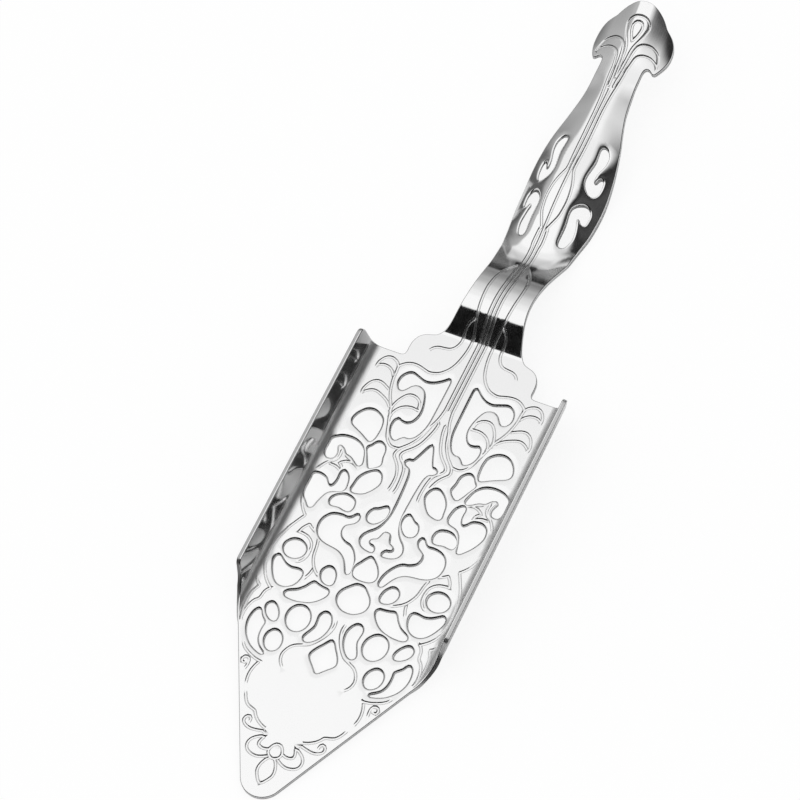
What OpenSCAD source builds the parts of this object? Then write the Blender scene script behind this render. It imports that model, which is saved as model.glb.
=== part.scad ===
// Absinthe spoon: one stamped, pierced and pressed sheet of stainless steel.
// X runs across the spoon, Y from the tip of the bowl to the bud at the end of the handle, Z up.
// The sheet is laid out about the centre of the round hole in the bowl, with Z = 0 on the bowl's
// upper face, and is then tipped and lifted to the way the spoon lies on a table.

/* [Sheet] */
// Thickness of the steel sheet
sheet_t = 0.8; // [0.6:0.1:1.1]

/* [Bowl] */
// Width of the flat floor between the two folds
floor_w = 33.8; // [31:0.2:38]
// Length from the tip of the bowl to the notch of the shoulder
bowl_l = 82.4; // [76:0.4:90]
// Length of the pointed end, from the tip to where the flanges begin
point_l = 27.4; // [25:0.2:29]
// Radius of the rounded tip
tip_r = 3.9; // [3:0.1:5]
// Height of the side flanges above the floor
flange_h = 5.5; // [4:0.5:8]
// Lean of the side flanges away from upright, in degrees
flange_lean = 12; // [4:1:20]
// Inner radius of the fold between floor and flange
fold_r = 1; // [0.6:0.1:1.6]
// Radius of the flanges' upper corner at the shoulder
flange_corner_r = 1.2; // [0.6:0.1:2]

/* [Neck and handle] */
// Length from the notch of the shoulder to the end of the bud
handle_l = 78.6; // [72:0.4:86]
// Width of the neck where it is narrowest
neck_w = 11.2; // [10:0.1:13]
// Width of the handle where it is widest
handle_w = 15.3; // [14:0.1:17]
// Width of the stem just before the bud
stem_w = 8.1; // [7.4:0.1:9]
// Width of the bud over its two lobes
bud_w = 14.6; // [13.4:0.2:16.4]

/* [Pressed heights] */
// Height of the hump where the neck leaves the bowl
hump_h = 3.2; // [2:0.2:4.4]
// Depth of the dip behind the hump, below the bowl's floor
dip_h = 1.4; // [0.6:0.2:2.4]
// Height of the handle's arch, from its edges to its ridge
arch_h = 4.4; // [3:0.2:5.2]
// Distance from the ridge to the line where the arch's sides bend down
arch_flat = 3; // [2.4:0.1:3.6]
// Softness of that bend
arch_soft = 1.5; // [1:0.1:2]
// Height of the stem's ridge above the bowl's floor
stem_h = 2.3; // [1.4:0.1:3]
// Height of the bud's end above the bowl's floor
bud_h = 5.5; // [4:0.5:7]

/* [Hidden] */

// The outline and the piercing are drawn in millimetres for these sizes and follow the ones above
drawn_floor_w = 33.8;
drawn_bowl_l = 82.4;
drawn_neck_w = 11.2;
drawn_handle_w = 15.3;
drawn_handle_l = 78.6;
drawn_bud_w = 14.6;
drawn_flange_h = 5.5;
drawn_tip_y = -37.2;
drawn_notch_y = drawn_tip_y + drawn_bowl_l;

// Drawn stations: end of the flat floor, where the handle's ribs begin, start and end of the bud
join_y = 51;
arch_y = 68;
bud_y = 111.6;
end_y = drawn_notch_y + drawn_handle_l;
// Least land between a hole and the fold
fold_land = 0.35;
// The stretch that two neighbouring stretches of the sheet share
lap = 1;

// Points added between two drawn points of a smooth outline
outline_steps = 2;
// Flats that make up a fold
fold_steps = 12;
// Ribs of the pressed surface: their places across the handle, and their steps along it
rib_x = [0, 1.4, 2.2, 3, 3.8, 4.8, 6.2];
rib_steps = [[arch_y, lap], [76, 2], [110, 1.2]];
neck_step = 0.4;

floor_kx = floor_w / drawn_floor_w;
floor_ky = bowl_l / drawn_bowl_l;
neck_kx = neck_w / drawn_neck_w;
handle_kx = handle_w / drawn_handle_w;
handle_ky = handle_l / drawn_handle_l;
bud_kx = bud_w / drawn_bud_w;

tip_y = drawn_tip_y * floor_ky;
notch_y = drawn_notch_y * floor_ky;
point_y = tip_y + point_l;
fold_x = floor_w / 2;
fold_top = fold_r * (1 - sin(flange_lean));
flange_leg = (flange_h - fold_top) / cos(flange_lean);
blank_x = max(handle_w, bud_w) / 2 + 1;

// Smooth curves through drawn points

function spline(a, b, c, d, t) =
    0.5 * (2 * b + (c - a) * t + (2 * a - 5 * b + 4 * c - d) * t * t + (3 * b - a - 3 * c + d) * t * t * t);

// A closed outline through all its points
function ring(p) =
    let (n = len(p))
    [for (i = [0:n - 1], j = [0:outline_steps - 1])
        spline(p[(i + n - 1) % n], p[i], p[(i + 1) % n], p[(i + 2) % n], j / outline_steps)];

// An open line through all its points, both ends included
function trace(p) =
    let (n = len(p))
    concat(
        [for (i = [0:n - 2], j = [0:outline_steps - 1])
            spline(p[max(i - 1, 0)], p[i], p[i + 1], p[min(i + 2, n - 1)], j / outline_steps)],
        [p[n - 1]]);

// A height that runs through a table of [station, height] without overshooting
function rise(t, i) = (t[i + 1][1] - t[i][1]) / (t[i + 1][0] - t[i][0]);
function lean(t, i) =
    i == 0 ? rise(t, 0) :
    i == len(t) - 1 ? rise(t, i - 1) :
    rise(t, i - 1) * rise(t, i) <= 0 ? 0 :
    2 * rise(t, i - 1) * rise(t, i) / (rise(t, i - 1) + rise(t, i));
function span(t, y, i = 0) = i >= len(t) - 2 || y <= t[i + 1][0] ? i : span(t, y, i + 1);
function along(t, y) =
    let (i = span(t, y), h = t[i + 1][0] - t[i][0], q = (y - t[i][0]) / h)
    t[i][1] * (1 + 2 * q) * (1 - q) * (1 - q) + t[i + 1][1] * q * q * (3 - 2 * q)
    + h * (lean(t, i) * q * (1 - q) * (1 - q) - lean(t, i + 1) * q * q * (1 - q));
function along_slope(t, y) =
    let (i = span(t, y), h = t[i + 1][0] - t[i][0], q = (y - t[i][0]) / h)
    6 * q * (1 - q) * (t[i + 1][1] - t[i][1]) / h
    + lean(t, i) * (1 - q) * (1 - 3 * q) - lean(t, i + 1) * q * (2 - 3 * q);

// Pressed surface of neck, handle and bud, by drawn station

ridge = [
    [join_y - lap, 0], [join_y, 0], [51.3, 0.01 * hump_h], [52, 0.1 * hump_h],
    [55, 0.66 * hump_h], [55.7, 0.78 * hump_h], [56.5, 0.89 * hump_h], [57.6, 0.97 * hump_h],
    [59, hump_h], [61, 0.92 * hump_h], [63, 0.72 * hump_h], [65.5, 0.36 * hump_h],
    [arch_y, -0.05 * dip_h], [70, -0.75 * dip_h],
    [72, -dip_h], [75, -0.8 * dip_h], [78, -0.3 * dip_h], [82, 0.2 * stem_h], [86, 0.42 * stem_h],
    [90, 0.5 * stem_h], [95, 0.56 * stem_h], [100, 0.72 * stem_h], [106, 0.88 * stem_h],
    [112, stem_h], [116, 0.8 * stem_h + 0.2 * bud_h], [120, 0.43 * stem_h + 0.57 * bud_h],
    [end_y, bud_h], [end_y + 4, 1.35 * bud_h]];

// Share of the arch's side slope that each station has
arch_share = [
    [join_y, 0], [arch_y + lap, 0], [70, 0.03], [73, 0.4], [76, 0.65], [80, 0.91], [84, 1], [90, 0.78],
    [95, 0.61], [100, 0.56], [105, 0.43], [109, 0.25], [112, 0.3], [116, 0.53], [120, 0.7],
    [end_y + 4, 0.8]];

// Fall of the arch from its ridge for a side slope of one, and its own slope
function fall(x) =
    (norm([x - arch_flat, arch_soft]) + norm([x + arch_flat, arch_soft])) / 2
    - norm([arch_flat, arch_soft]);
function fall_slope(x) =
    ((x - arch_flat) / norm([x - arch_flat, arch_soft])
    + (x + arch_flat) / norm([x + arch_flat, arch_soft])) / 2;
arch_slope = arch_h / fall(handle_w / 2);

function real_y(y) = y <= drawn_notch_y ? y * floor_ky : notch_y + (y - drawn_notch_y) * handle_ky;
function top_z(x, y) = along(ridge, y) - arch_slope * along(arch_share, y) * fall(x);
function slope_x(x, y) = arch_slope * along(arch_share, y) * fall_slope(x);
function slope_y(x, y) =
    (along_slope(ridge, y) - arch_slope * along_slope(arch_share, y) * fall(x)) / handle_ky;
function bottom_z(x, y) = top_z(x, y) - sheet_t * norm([1, slope_x(x, y), slope_y(x, y)]);

// Outline of the sheet, right half

function on_floor(p) = [p[0] * floor_kx, real_y(p[1])];
function on_handle(p) = [p[0] * handle_kx, real_y(p[1])];
function on_bud(p) = [p[0] * bud_kx, real_y(p[1])];

shoulder = [for (p = [
    [12.9, 45.05], [12.25, 45.2], [11.95, 45.75], [11.95, 46.8], [11.8, 48.1], [11.2, 49.35],
    [10.2, 50.1], [9.1, 50.45], [8.3, 50.8]]) on_floor(p)];
neck = [for (p = [
    [7.65, 51.5], [7.15, 52.3], [6.75, 53.4], [6.4, 54.8], [6.05, 56.6], [5.75, 58.8], [5.6, 61.5],
    [5.6, 64.5], [5.75, 67.5]]) [p[0] * neck_kx, real_y(p[1])]];
handle_side = [
    [handle_w / 2 - 1.4, 71.5], [handle_w / 2 - 0.85, 75.6], [handle_w / 2 - 0.25, 80],
    [handle_w / 2, 85], [handle_w / 2 - 0.1, 88.5], [handle_w / 2 - 0.5, 92],
    [stem_w / 2 + 2.3, 96], [stem_w / 2 + 1.25, 99.8], [stem_w / 2 + 0.5, 103.2],
    [stem_w / 2 + 0.1, 107], [stem_w / 2, 110], [stem_w / 2, bud_y]];
bud = [for (p = [
    [4.25, 112.35], [4.65, 112.65], [5.15, 112.5], [5.6, 112.15], [6.05, 112.2], [6.45, 112.85],
    [6.9, 114], [7.2, 115.3], [7.3, 116.7], [7.2, 118], [6.9, 119.1], [6.35, 119.95], [5.65, 120.55],
    [4.95, 121.05], [4.5, 121.6], [3.95, 122.2], [3.2, 122.8], [2.3, 123.3], [1.2, 123.65],
    [0, end_y]]) on_bud(p)];

// The pointed end runs from the tip's round to the start of the flanges
point_phi = atan2(point_y - tip_y - tip_r, fold_x);
point_alpha = acos(tip_r / norm([fold_x, point_y - tip_y - tip_r]));
point_start = [
    tip_r * cos(point_phi - point_alpha),
    tip_y + tip_r + tip_r * sin(point_phi - point_alpha)];

right_side = concat(
    [point_start, [fold_x, point_y], [fold_x, shoulder[0][1]]],
    trace(concat(shoulder, neck, [for (p = handle_side) [p[0], real_y(p[1])]], bud)));
left_side = [for (i = [len(right_side) - 2:-1:0]) [-right_side[i][0], right_side[i][1]]];

module sheet_outline() {
    polygon(concat(right_side, left_side));
    translate([0, tip_y + tip_r])
        circle(tip_r, $fn = 48);
}

module strip(y0, y1) {
    translate([-floor_w, y0])
        square([2 * floor_w, y1 - y0]);
}

// Piercing of the bowl, drawn for the right half

scroll_slot = [
    [2.65, 43.5], [3.85, 42.5], [5.1, 41.8], [6.4, 41.6], [7.7, 42], [9, 42.4], [10, 42], [10.6, 41],
    [10.65, 39.8], [10.1, 38.9], [9.4, 38.8], [8.8, 39.4], [8.2, 40.15], [7.3, 40.6], [6.3, 40.45],
    [5.5, 39.8], [4.85, 38.4], [4.4, 36.5], [4.5, 35], [5.1, 33.8], [6, 33.2], [6.9, 33.25], [7.6, 33.5],
    [8.05, 33], [8.15, 31.9], [7.8, 30.7], [7.15, 29.9], [6.45, 29.65], [5.9, 30.2], [5.2, 30.75],
    [4.4, 30.8], [3.55, 31.4], [2.85, 32.8], [2.45, 34.6], [2.35, 38], [2.3, 42.3], [2.35, 43.2]];
half_round = [
    [9.8, 31], [10.15, 32.3], [11.1, 33.15], [12.35, 33.5], [13.6, 33.15], [14.55, 32.1], [15, 30.9],
    [14.85, 30.1], [14.2, 29.6], [12.4, 28.8], [11.1, 28.1], [10.4, 27.85], [10, 28.3], [9.8, 29.6]];
shard = [
    [8.55, 28.3], [9.25, 27.95], [9.65, 27.3], [10.1, 26.8], [10.15, 26.3], [9.65, 25.4], [9, 24.2],
    [8.35, 23.2], [7.7, 23.35], [7, 24], [6.75, 24.6], [7.05, 25.8], [7.15, 26.9], [7.4, 27.6],
    [7.9, 28.1]];
crescent = [
    [9.85, 23.3], [10.1, 24.6], [10.6, 25.85], [11.6, 26.75], [12.85, 27.2], [14.25, 27.25], [15.6, 26.9],
    [16.45, 26.1], [16.8, 24.9], [16.7, 23.5], [16.2, 22.6], [15.45, 22.5], [14.9, 22.85], [14.75, 23.6],
    [14.95, 24.3], [15.2, 24.9], [15, 25.35], [14.5, 25.45], [13.75, 25.05], [13.1, 24.35],
    [12.05, 24.05], [11.05, 23.4], [10.3, 22.95]];
bract = [
    [9.75, 22.5], [9, 21.7], [8.65, 20.6], [8.55, 19.5], [8.85, 18.85], [9.6, 18.55], [10.4, 18.35],
    [11.2, 17.75], [11.7, 16.8], [12.1, 15.5], [12.35, 14.5], [12.9, 14.3], [13.6, 14.95], [14.4, 15.9],
    [15.1, 17.1], [15.5, 18.3], [15.4, 19.4], [15, 20.15], [14.2, 20.55], [13.3, 20.5], [12.5, 20.2],
    [11.9, 19.5], [11.35, 19.1], [10.85, 19.3], [10.5, 20], [10.4, 20.9], [10.45, 21.8], [10.3, 22.45]];
leaf = [
    [3.25, 22.5], [3.75, 23.45], [4.6, 23.75], [5.45, 23.4], [6.35, 22.5], [6.95, 21.4], [7.15, 20.1],
    [7.25, 19.1], [6.85, 18.7], [6, 18.75], [5, 19.1], [4.25, 19.8], [3.6, 20.7], [3.2, 21.6]];
kidney = [
    [7.65, 16.1], [8, 16.75], [8.75, 17.1], [9.8, 17.2], [10.9, 16.85], [11.65, 16.1], [11.85, 15.2],
    [11.5, 14.65], [10.85, 14.6], [9.8, 14.7], [8.75, 14.5], [7.95, 14.6], [7.6, 15.3]];
seed = [
    [2.1, 17.65], [2.75, 17.25], [3.4, 16.75], [4.1, 16.45], [4.5, 15.75], [4.6, 15], [4.3, 14.3],
    [3.65, 14], [2.9, 14.1], [2.05, 14.8], [1.5, 15.65], [1.4, 16.6], [1.6, 17.3]];
comma = [
    [5.9, 14.5], [6.4, 14.4], [6.9, 13.8], [7.6, 13.4], [8.6, 13.45], [9.7, 13.3], [10.6, 12.9],
    [11.25, 12.1], [11.55, 11.1], [11.5, 10.1], [11.2, 9.2], [10.6, 8.55], [9.8, 8.1], [8.7, 7.8],
    [7.5, 7.65], [6.3, 7.4], [5.25, 6.8], [4.5, 6], [3.9, 5], [3.45, 4.2], [3.05, 4], [2.7, 4.35],
    [2.7, 5.2], [2.95, 6.2], [3.4, 7.2], [4.1, 8.2], [4.95, 8.85], [5.95, 9.1], [6.95, 9.65], [7.5, 10.4],
    [7.65, 11.2], [7.4, 12], [6.75, 12.5], [6.05, 13], [5.7, 13.75]];
drop = [
    [4.05, 2.2], [4.25, 3.4], [4.85, 4.3], [5.6, 4.6], [6.35, 4.3], [6.75, 3.4], [6.45, 2.4], [5.85, 1.8],
    [5.05, 1.5], [4.35, 1.6]];
boat = [
    [4.55, -0.2], [4.85, 0.15], [5.8, 0.25], [6.7, 0.4], [7.5, 0.6], [8, 0.2], [8.6, -0.7], [9.5, -1.6],
    [10.4, -2.1], [11.15, -2.45], [11.4, -3], [11.05, -3.4], [10.1, -3.55], [8.8, -3.5], [7.4, -3.2],
    [6.1, -2.55], [5.1, -1.6], [4.6, -0.8]];
horn = [
    [10.15, 0.8], [10.4, 1.55], [11.2, 1.7], [12.4, 1.55], [13.5, 1.8], [14.5, 2.4], [15.2, 2.9],
    [15.75, 2.75], [15.9, 1.9], [15.5, 0.7], [14.8, -0.55], [13.95, -1.5], [12.9, -1.95], [11.8, -1.8],
    [10.9, -1.2], [10.35, -0.25]];
bean = [
    [3.05, -3.6], [3.65, -3.85], [3.95, -4.6], [3.85, -5.5], [3.8, -6.5], [4.1, -7.35], [4.55, -8.2],
    [4.8, -8.9], [4.6, -9.45], [4, -9.55], [3.3, -9.2], [2.5, -8.4], [1.95, -7.4], [1.65, -6.3],
    [1.65, -5.2], [2.05, -4.2], [2.5, -3.75]];
pip = [
    [12.75, -4], [13.35, -4.5], [13.3, -5.4], [12.75, -6.2], [11.85, -6.8], [11.05, -6.9], [10.75, -6.5],
    [10.85, -5.7], [11.35, -4.8], [12.05, -4.15]];
sickle = [
    [14.05, -7.15], [14.5, -7.5], [14.8, -8.5], [14.85, -9.6], [14.6, -10.8], [14, -12], [13.1, -13],
    [12.1, -13.7], [11, -14.15], [10, -14.35], [9.95, -14.05], [10.75, -13.55], [11.5, -12.9],
    [12.05, -11.95], [12.25, -10.9], [12.25, -9.9], [12.2, -9.05], [12.8, -8.45], [13.3, -7.9],
    [13.6, -7.35]];

// Round and oval holes of the bowl: centre, half width and half length, turn
ovals = [
    [[13.45, 4.95], [1.95, 1.68], 0],
    [[7.2, -6.3], [2, 2.3], -10],
    [[9.35, -11.4], [1.45, 1.85], -15]];

// Piercing on the axis of the bowl; the first point of each side stands on the axis

channel_side = [
    [0, 30.9],
    [0.45, 30.2], [1.1, 28.5], [1.75, 27.2], [2.5, 27], [2.9, 26.5], [2.5, 26], [1.7, 25.6], [1.2, 24.4],
    [0.95, 22], [0.85, 20], [0.8, 18], [0.95, 16.3], [1.25, 15], [1.7, 13.85], [2.4, 12.95], [3.1, 12.3],
    [3.6, 11.6], [3.8, 10.8], [3.6, 10.1], [3.1, 9.6], [2.4, 9.3], [1.5, 9.15], [0.9, 9.2], [0.9, 9.75],
    [1.2, 10.15], [1.8, 10.25], [2.3, 10.65], [2.25, 11.2], [1.75, 11.6], [1.25, 11.85], [1, 12.5],
    [0.8, 13.1], [0.4, 13.5]];
diamond_side = [
    [0, -7.9],
    [0.45, -8.2], [1, -9], [1.65, -9.85], [2.15, -10.7], [2.35, -11.45], [2.05, -12.05], [1.4, -12.7],
    [0.7, -13.4], [0.2, -13.9]];
centre_side = [
    [0, 2.9],
    [0.8, 2.75], [1.7, 1.95], [2.4, 1.15], [2.75, 0.2], [2.65, -0.7], [2.2, -1.4], [1.35, -2], [0.5, -2.25]];
keystone = [
    [-0.65, 8.2], [0, 7.95], [0.95, 7.05], [1.55, 6.1], [1.85, 5.2], [1.65, 4.5], [1.1, 4.05], [0, 3.85],
    [-1, 3.85], [-1.85, 4.1], [-2.35, 4.65], [-2.5, 5.4], [-2.3, 6], [-1.75, 6.75], [-1.2, 7.65]];

// Piercing of the handle, drawn for the right half

lower_slot = [
    [3.15, 82], [3.1, 81.2], [3.2, 80.2], [3.3, 78.8], [3.25, 77.3], [3.2, 76], [3.4, 75.25], [3.85, 75.1],
    [4.4, 75.5], [4.8, 76.5], [5, 77.7], [4.9, 79], [4.65, 80.2], [4.4, 80.9], [4.5, 81.35], [4.9, 81.3],
    [5.15, 80.95], [5.5, 80.8], [5.85, 81.1], [6, 82], [6, 83.1], [5.7, 83.8], [5.2, 84.1], [4.55, 83.9],
    [3.85, 83.3], [3.35, 82.6]];
upper_slot = [
    [3.35, 95.1], [3.75, 95.45], [4.25, 95.35], [4.7, 94.85], [5, 94.1], [5.05, 93.2], [4.95, 92.3],
    [4.7, 91.35], [4.45, 90.4], [4.35, 89.4], [4.4, 88.8], [4.7, 88.55], [4.95, 88.8], [5.15, 89.4],
    [5.45, 89.9], [5.75, 89.75], [5.9, 89], [5.9, 88], [5.75, 87.1], [5.4, 86.4], [5, 86.1], [4.5, 86.15],
    [3.95, 86.6], [3.45, 87.3], [3.2, 88.1], [3.15, 89.1], [3.3, 90.3], [3.45, 91.4], [3.5, 92.4],
    [3.4, 93.5], [3.3, 94.4]];

function both_sides(p) = concat(p, [for (i = [len(p) - 1:-1:1]) [-p[i][0], p[i][1]]]);

module bowl_hole(p) {
    polygon([for (q = ring(p)) on_floor(q)]);
}

// A hole's drawn points, moved out and along, with none nearer to the fold than the land
function moved(p, shift) =
    [for (q = p) [min(q[0] + shift[0], drawn_floor_w / 2 - fold_land), q[1] + shift[1]]];

// A hole on each side, with the left one moved out and along by its own shift
module bowl_pair(p, left_shift = [0, 0]) {
    bowl_hole(moved(p, [0, 0]));
    mirror([1, 0])
        bowl_hole(moved(p, left_shift));
}

// An oval on each side, from its centre, its two half widths and its turn
module oval_pair(centre, half, turn) {
    for (side = [0, 1])
        mirror([side, 0])
            polygon([for (a = [0:15:345])
                on_floor(centre + [
                    half[0] * cos(a) * cos(turn) - half[1] * sin(a) * sin(turn),
                    half[0] * cos(a) * sin(turn) + half[1] * sin(a) * cos(turn)])]);
}

module bowl_piercing() {
    bowl_pair(scroll_slot);
    bowl_pair(half_round);
    bowl_pair(shard);
    bowl_pair(crescent);
    bowl_pair(bract, [1.9, -1.4]);
    bowl_pair(leaf, [2.15, -0.6]);
    bowl_pair(kidney);
    bowl_pair(seed);
    bowl_pair(comma);
    bowl_pair(drop, [0.5, -0.5]);
    bowl_pair(boat);
    bowl_pair(horn);
    bowl_pair(bean);
    bowl_pair(pip, [-0.2, -1.3]);
    bowl_pair(sickle);
    for (v = ovals)
        oval_pair(v[0], v[1], v[2]);
    for (p = [channel_side, diamond_side, centre_side])
        bowl_hole(both_sides(p));
    bowl_hole(keystone);
}

module handle_piercing() {
    for (side = [0, 1])
        mirror([side, 0])
            for (slot = [lower_slot, upper_slot])
                polygon([for (q = ring(slot)) on_handle(q)]);
}

module bowl_floor() {
    translate([0, 0, -sheet_t])
        linear_extrude(sheet_t)
            difference() {
                intersection() {
                    sheet_outline();
                    strip(tip_y - lap, real_y(join_y));
                }
                bowl_piercing();
            }
}

// Section of the right flange: the fold, then the leaning wall
function fold_point(r, a) = [fold_x + r * cos(a), fold_r + r * sin(a)];
function wall_end(r) = fold_point(r, -flange_lean) + flange_leg * [sin(flange_lean), cos(flange_lean)];

module flange_section() {
    bend = [for (i = [0:fold_steps]) -90 + i * (90 - flange_lean) / fold_steps];
    polygon(concat(
        [for (a = bend) fold_point(fold_r + sheet_t, a)],
        [wall_end(fold_r + sheet_t), wall_end(fold_r)],
        [for (i = [fold_steps:-1:0]) fold_point(fold_r, bend[i])]));
}

// Side view of a flange: its slanting lower end, its top and its rounded corner at the shoulder
flange_end = concat(
    [[point_y, -sheet_t]],
    [for (p = [[1.5, 0], [3.2, 0.9], [4.7, 1.9], [5.65, 2.9], [6.6, 4.4], [7.05, 5.1], [7.7, 5.5]])
        [point_y + p[0], p[1] * flange_h / drawn_flange_h]]);
shoulder_y = shoulder[0][1];

module flange_side() {
    difference() {
        polygon(concat(
            [[point_y, -lap - sheet_t]], trace(flange_end),
            [[shoulder_y, flange_h], [shoulder_y, -lap - sheet_t]]));
        translate([shoulder_y - flange_corner_r, flange_h - flange_corner_r])
            difference() {
                square(flange_corner_r + lap);
                circle(flange_corner_r, $fn = 48);
            }
    }
}

module flange() {
    intersection() {
        translate([0, shoulder_y, 0])
            rotate([90, 0, 0])
                linear_extrude(shoulder_y - point_y)
                    flange_section();
        rotate([90, 0, 90])
            linear_extrude(2 * floor_w)
                flange_side();
    }
}

// The neck's bends run straight across the sheet
neck_rows = concat(
    [join_y - lap],
    [for (y = [join_y:neck_step:arch_y - neck_step / 2]) y],
    [arch_y, arch_y + lap]);

module neck_bends() {
    intersection() {
        rotate([90, 0, 90])
            translate([0, 0, -floor_w / 2])
                linear_extrude(floor_w)
                    polygon(concat(
                        [for (y = neck_rows) [real_y(y), top_z(0, y)]],
                        [for (i = [len(neck_rows) - 1:-1:0])
                            [real_y(neck_rows[i]), bottom_z(0, neck_rows[i])]]));
        translate([0, 0, -2 * hump_h - 2 * sheet_t])
            linear_extrude(4 * hump_h + 4 * sheet_t)
                intersection() {
                    sheet_outline();
                    strip(real_y(join_y) - lap, real_y(arch_y + lap) + lap);
                }
    }
}

// The pressed blank of handle and bud, wider than the outline that trims it
column_x = concat(
    [-blank_x], [for (i = [len(rib_x) - 1:-1:1]) -rib_x[i] * handle_kx],
    [for (x = rib_x) x * handle_kx], [blank_x]);
row_y = concat(
    [for (s = [0:len(rib_steps) - 2]) each
        [for (y = [rib_steps[s][0]:rib_steps[s][1]:rib_steps[s + 1][0] - 0.01]) y]],
    [for (y = [110:1.2:end_y + 1.2]) y]);

module pressed_blank() {
    nx = len(column_x);
    ny = len(row_y);
    top = [for (y = row_y, x = column_x) [x, real_y(y), top_z(x, y)]];
    bottom = [for (y = row_y, x = column_x) [x, real_y(y), bottom_z(x, y)]];
    function at(i, j, under = 0) = under * nx * ny + i * nx + j;
    function two(a, b, c, d) = [[a, b, c], [a, c, d]];
    cells = [for (i = [0:ny - 2], j = [0:nx - 2]) [i, j]];
    polyhedron(concat(top, bottom), concat(
        [for (c = cells) each
            two(at(c[0], c[1]), at(c[0] + 1, c[1]), at(c[0] + 1, c[1] + 1), at(c[0], c[1] + 1))],
        [for (c = cells) each
            two(at(c[0], c[1], 1), at(c[0], c[1] + 1, 1), at(c[0] + 1, c[1] + 1, 1), at(c[0] + 1, c[1], 1))],
        [for (i = [0:ny - 2]) each two(at(i, 0), at(i, 0, 1), at(i + 1, 0, 1), at(i + 1, 0))],
        [for (i = [0:ny - 2]) each
            two(at(i, nx - 1), at(i + 1, nx - 1), at(i + 1, nx - 1, 1), at(i, nx - 1, 1))],
        [for (j = [0:nx - 2]) each two(at(0, j), at(0, j + 1), at(0, j + 1, 1), at(0, j, 1))],
        [for (j = [0:nx - 2]) each
            two(at(ny - 1, j + 1), at(ny - 1, j), at(ny - 1, j, 1), at(ny - 1, j + 1, 1))]));
}

module handle_and_bud() {
    intersection() {
        pressed_blank();
        translate([0, 0, -2 * arch_h - 2 * sheet_t])
            linear_extrude(2 * arch_h + 2 * bud_h + 4 * sheet_t)
                difference() {
                    intersection() {
                        sheet_outline();
                        strip(real_y(arch_y) - lap, real_y(end_y) + lap);
                    }
                    handle_piercing();
                }
    }
}

// At rest the spoon lies on its tip and on the lower edges of the handle's arch
rest_tilt = max([for (e = trace(handle_side)) atan2(-sheet_t - bottom_z(e[0], e[1]), real_y(e[1]) - tip_y)]);
rest_lift = sheet_t * cos(rest_tilt) - tip_y * sin(rest_tilt);
rest_back = -tip_y * cos(rest_tilt);
rest_front = real_y(end_y) * cos(rest_tilt) - bottom_z(0, end_y) * sin(rest_tilt);

module spoon() {
    color("silver")
        translate([0, (rest_back - rest_front) / 2, rest_lift])
            rotate([rest_tilt, 0, 0])
                union() {
                    bowl_floor();
                    flange();
                    mirror([1, 0, 0])
                        flange();
                    neck_bends();
                    handle_and_bud();
                }
}

spoon();
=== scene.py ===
"""Absinthe spoon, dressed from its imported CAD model: one pierced, engraved and pressed steel sheet.

The sheet is drawn flat, in millimetres: u across it and v along it, from the centre of the round
hole in the bowl. Its edges get their true rounding, its upper face its engraved lines, and the
flat sheet is then folded up along the bowl's sides and pressed along the handle.
"""

import bpy
import numpy as np
from mathutils import Matrix, Vector
from mathutils.geometry import delaunay_2d_cdt


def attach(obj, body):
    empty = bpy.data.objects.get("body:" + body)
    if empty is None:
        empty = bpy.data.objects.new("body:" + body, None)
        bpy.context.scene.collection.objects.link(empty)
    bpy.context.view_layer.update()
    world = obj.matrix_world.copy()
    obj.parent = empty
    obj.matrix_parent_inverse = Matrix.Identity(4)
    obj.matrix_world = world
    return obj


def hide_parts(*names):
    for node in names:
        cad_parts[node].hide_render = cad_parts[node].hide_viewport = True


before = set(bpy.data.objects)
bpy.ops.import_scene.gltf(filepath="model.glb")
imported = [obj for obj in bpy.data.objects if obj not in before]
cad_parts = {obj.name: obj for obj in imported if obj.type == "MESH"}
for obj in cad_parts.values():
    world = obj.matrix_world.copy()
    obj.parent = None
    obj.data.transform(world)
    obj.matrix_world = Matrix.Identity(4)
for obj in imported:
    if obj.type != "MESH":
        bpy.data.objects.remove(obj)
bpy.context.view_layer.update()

MM = 0.001

# Sizes, with lengths in mm

# Sheet, the fold along the bowl's sides, and the flange's straight part and upper corner
SHEET = 0.8
FOLD_U = 15.93
FOLD_R = 2.2
FOLD_TURN = np.radians(78)
BEND_LENGTH = FOLD_R * FOLD_TURN
FLANGE_STRAIGHT = 3.843
FLANGE_TOP = FOLD_U + (BEND_LENGTH + FLANGE_STRAIGHT)
FLANGE_CORNER = 1.2
# Tip: radius, centre and the angle in degrees where its arc runs into the slanting side
TIP_RADIUS = 3.89
TIP_CENTRE = -33.3
TIP_END = -28
# Place along the sheet of the flanges' ends and of the pressed handle's start
FLANGE_START = -9.5
SHOULDER_V = 45.05
HANDLE_START = 51
# Furthest place across the sheet of a hole's drawn points
HOLE_LIMIT = 16.55
# The way the spoon lies: sine and cosine of its tilt, and how far it is moved back and lifted
REST_SIN = 0.034073
REST_COS = 0.999419
REST_BACK = 43.1959
REST_LIFT = 2.06707

# Arch over the handle's widest part: height, half width, half the flat ridge, rounding beside it
ARCH_HEIGHT = 4.4
ARCH_HALF = 15.3 / 2
ARCH_FLAT = 3.0
ARCH_SOFT = 1.5
# Stem: half the flat ridge, rounding beside it, half width, how much steeper than the arch its
# sides are, and where the change from one to the other begins and how long it is
STEM_FLAT = 1.3
STEM_SOFT = 0.6
STEM_HALF = 5.0
STEM_STEEPER = 1.35
STEM_START = 89
STEM_CHANGE = 13
# Waist below the bud: place, reach to either side, and what it adds to the fall of the sides
WAIST_V = 108
WAIST_REACH = 7
WAIST_EXTRA = 0.65
# Bud: half its flat middle, how its rim turns down, and where that begins and how long it takes
BUD_FLAT = 5.0
BUD_TURN = 0.0375
BUD_START = 112
BUD_CHANGE = 3
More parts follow.
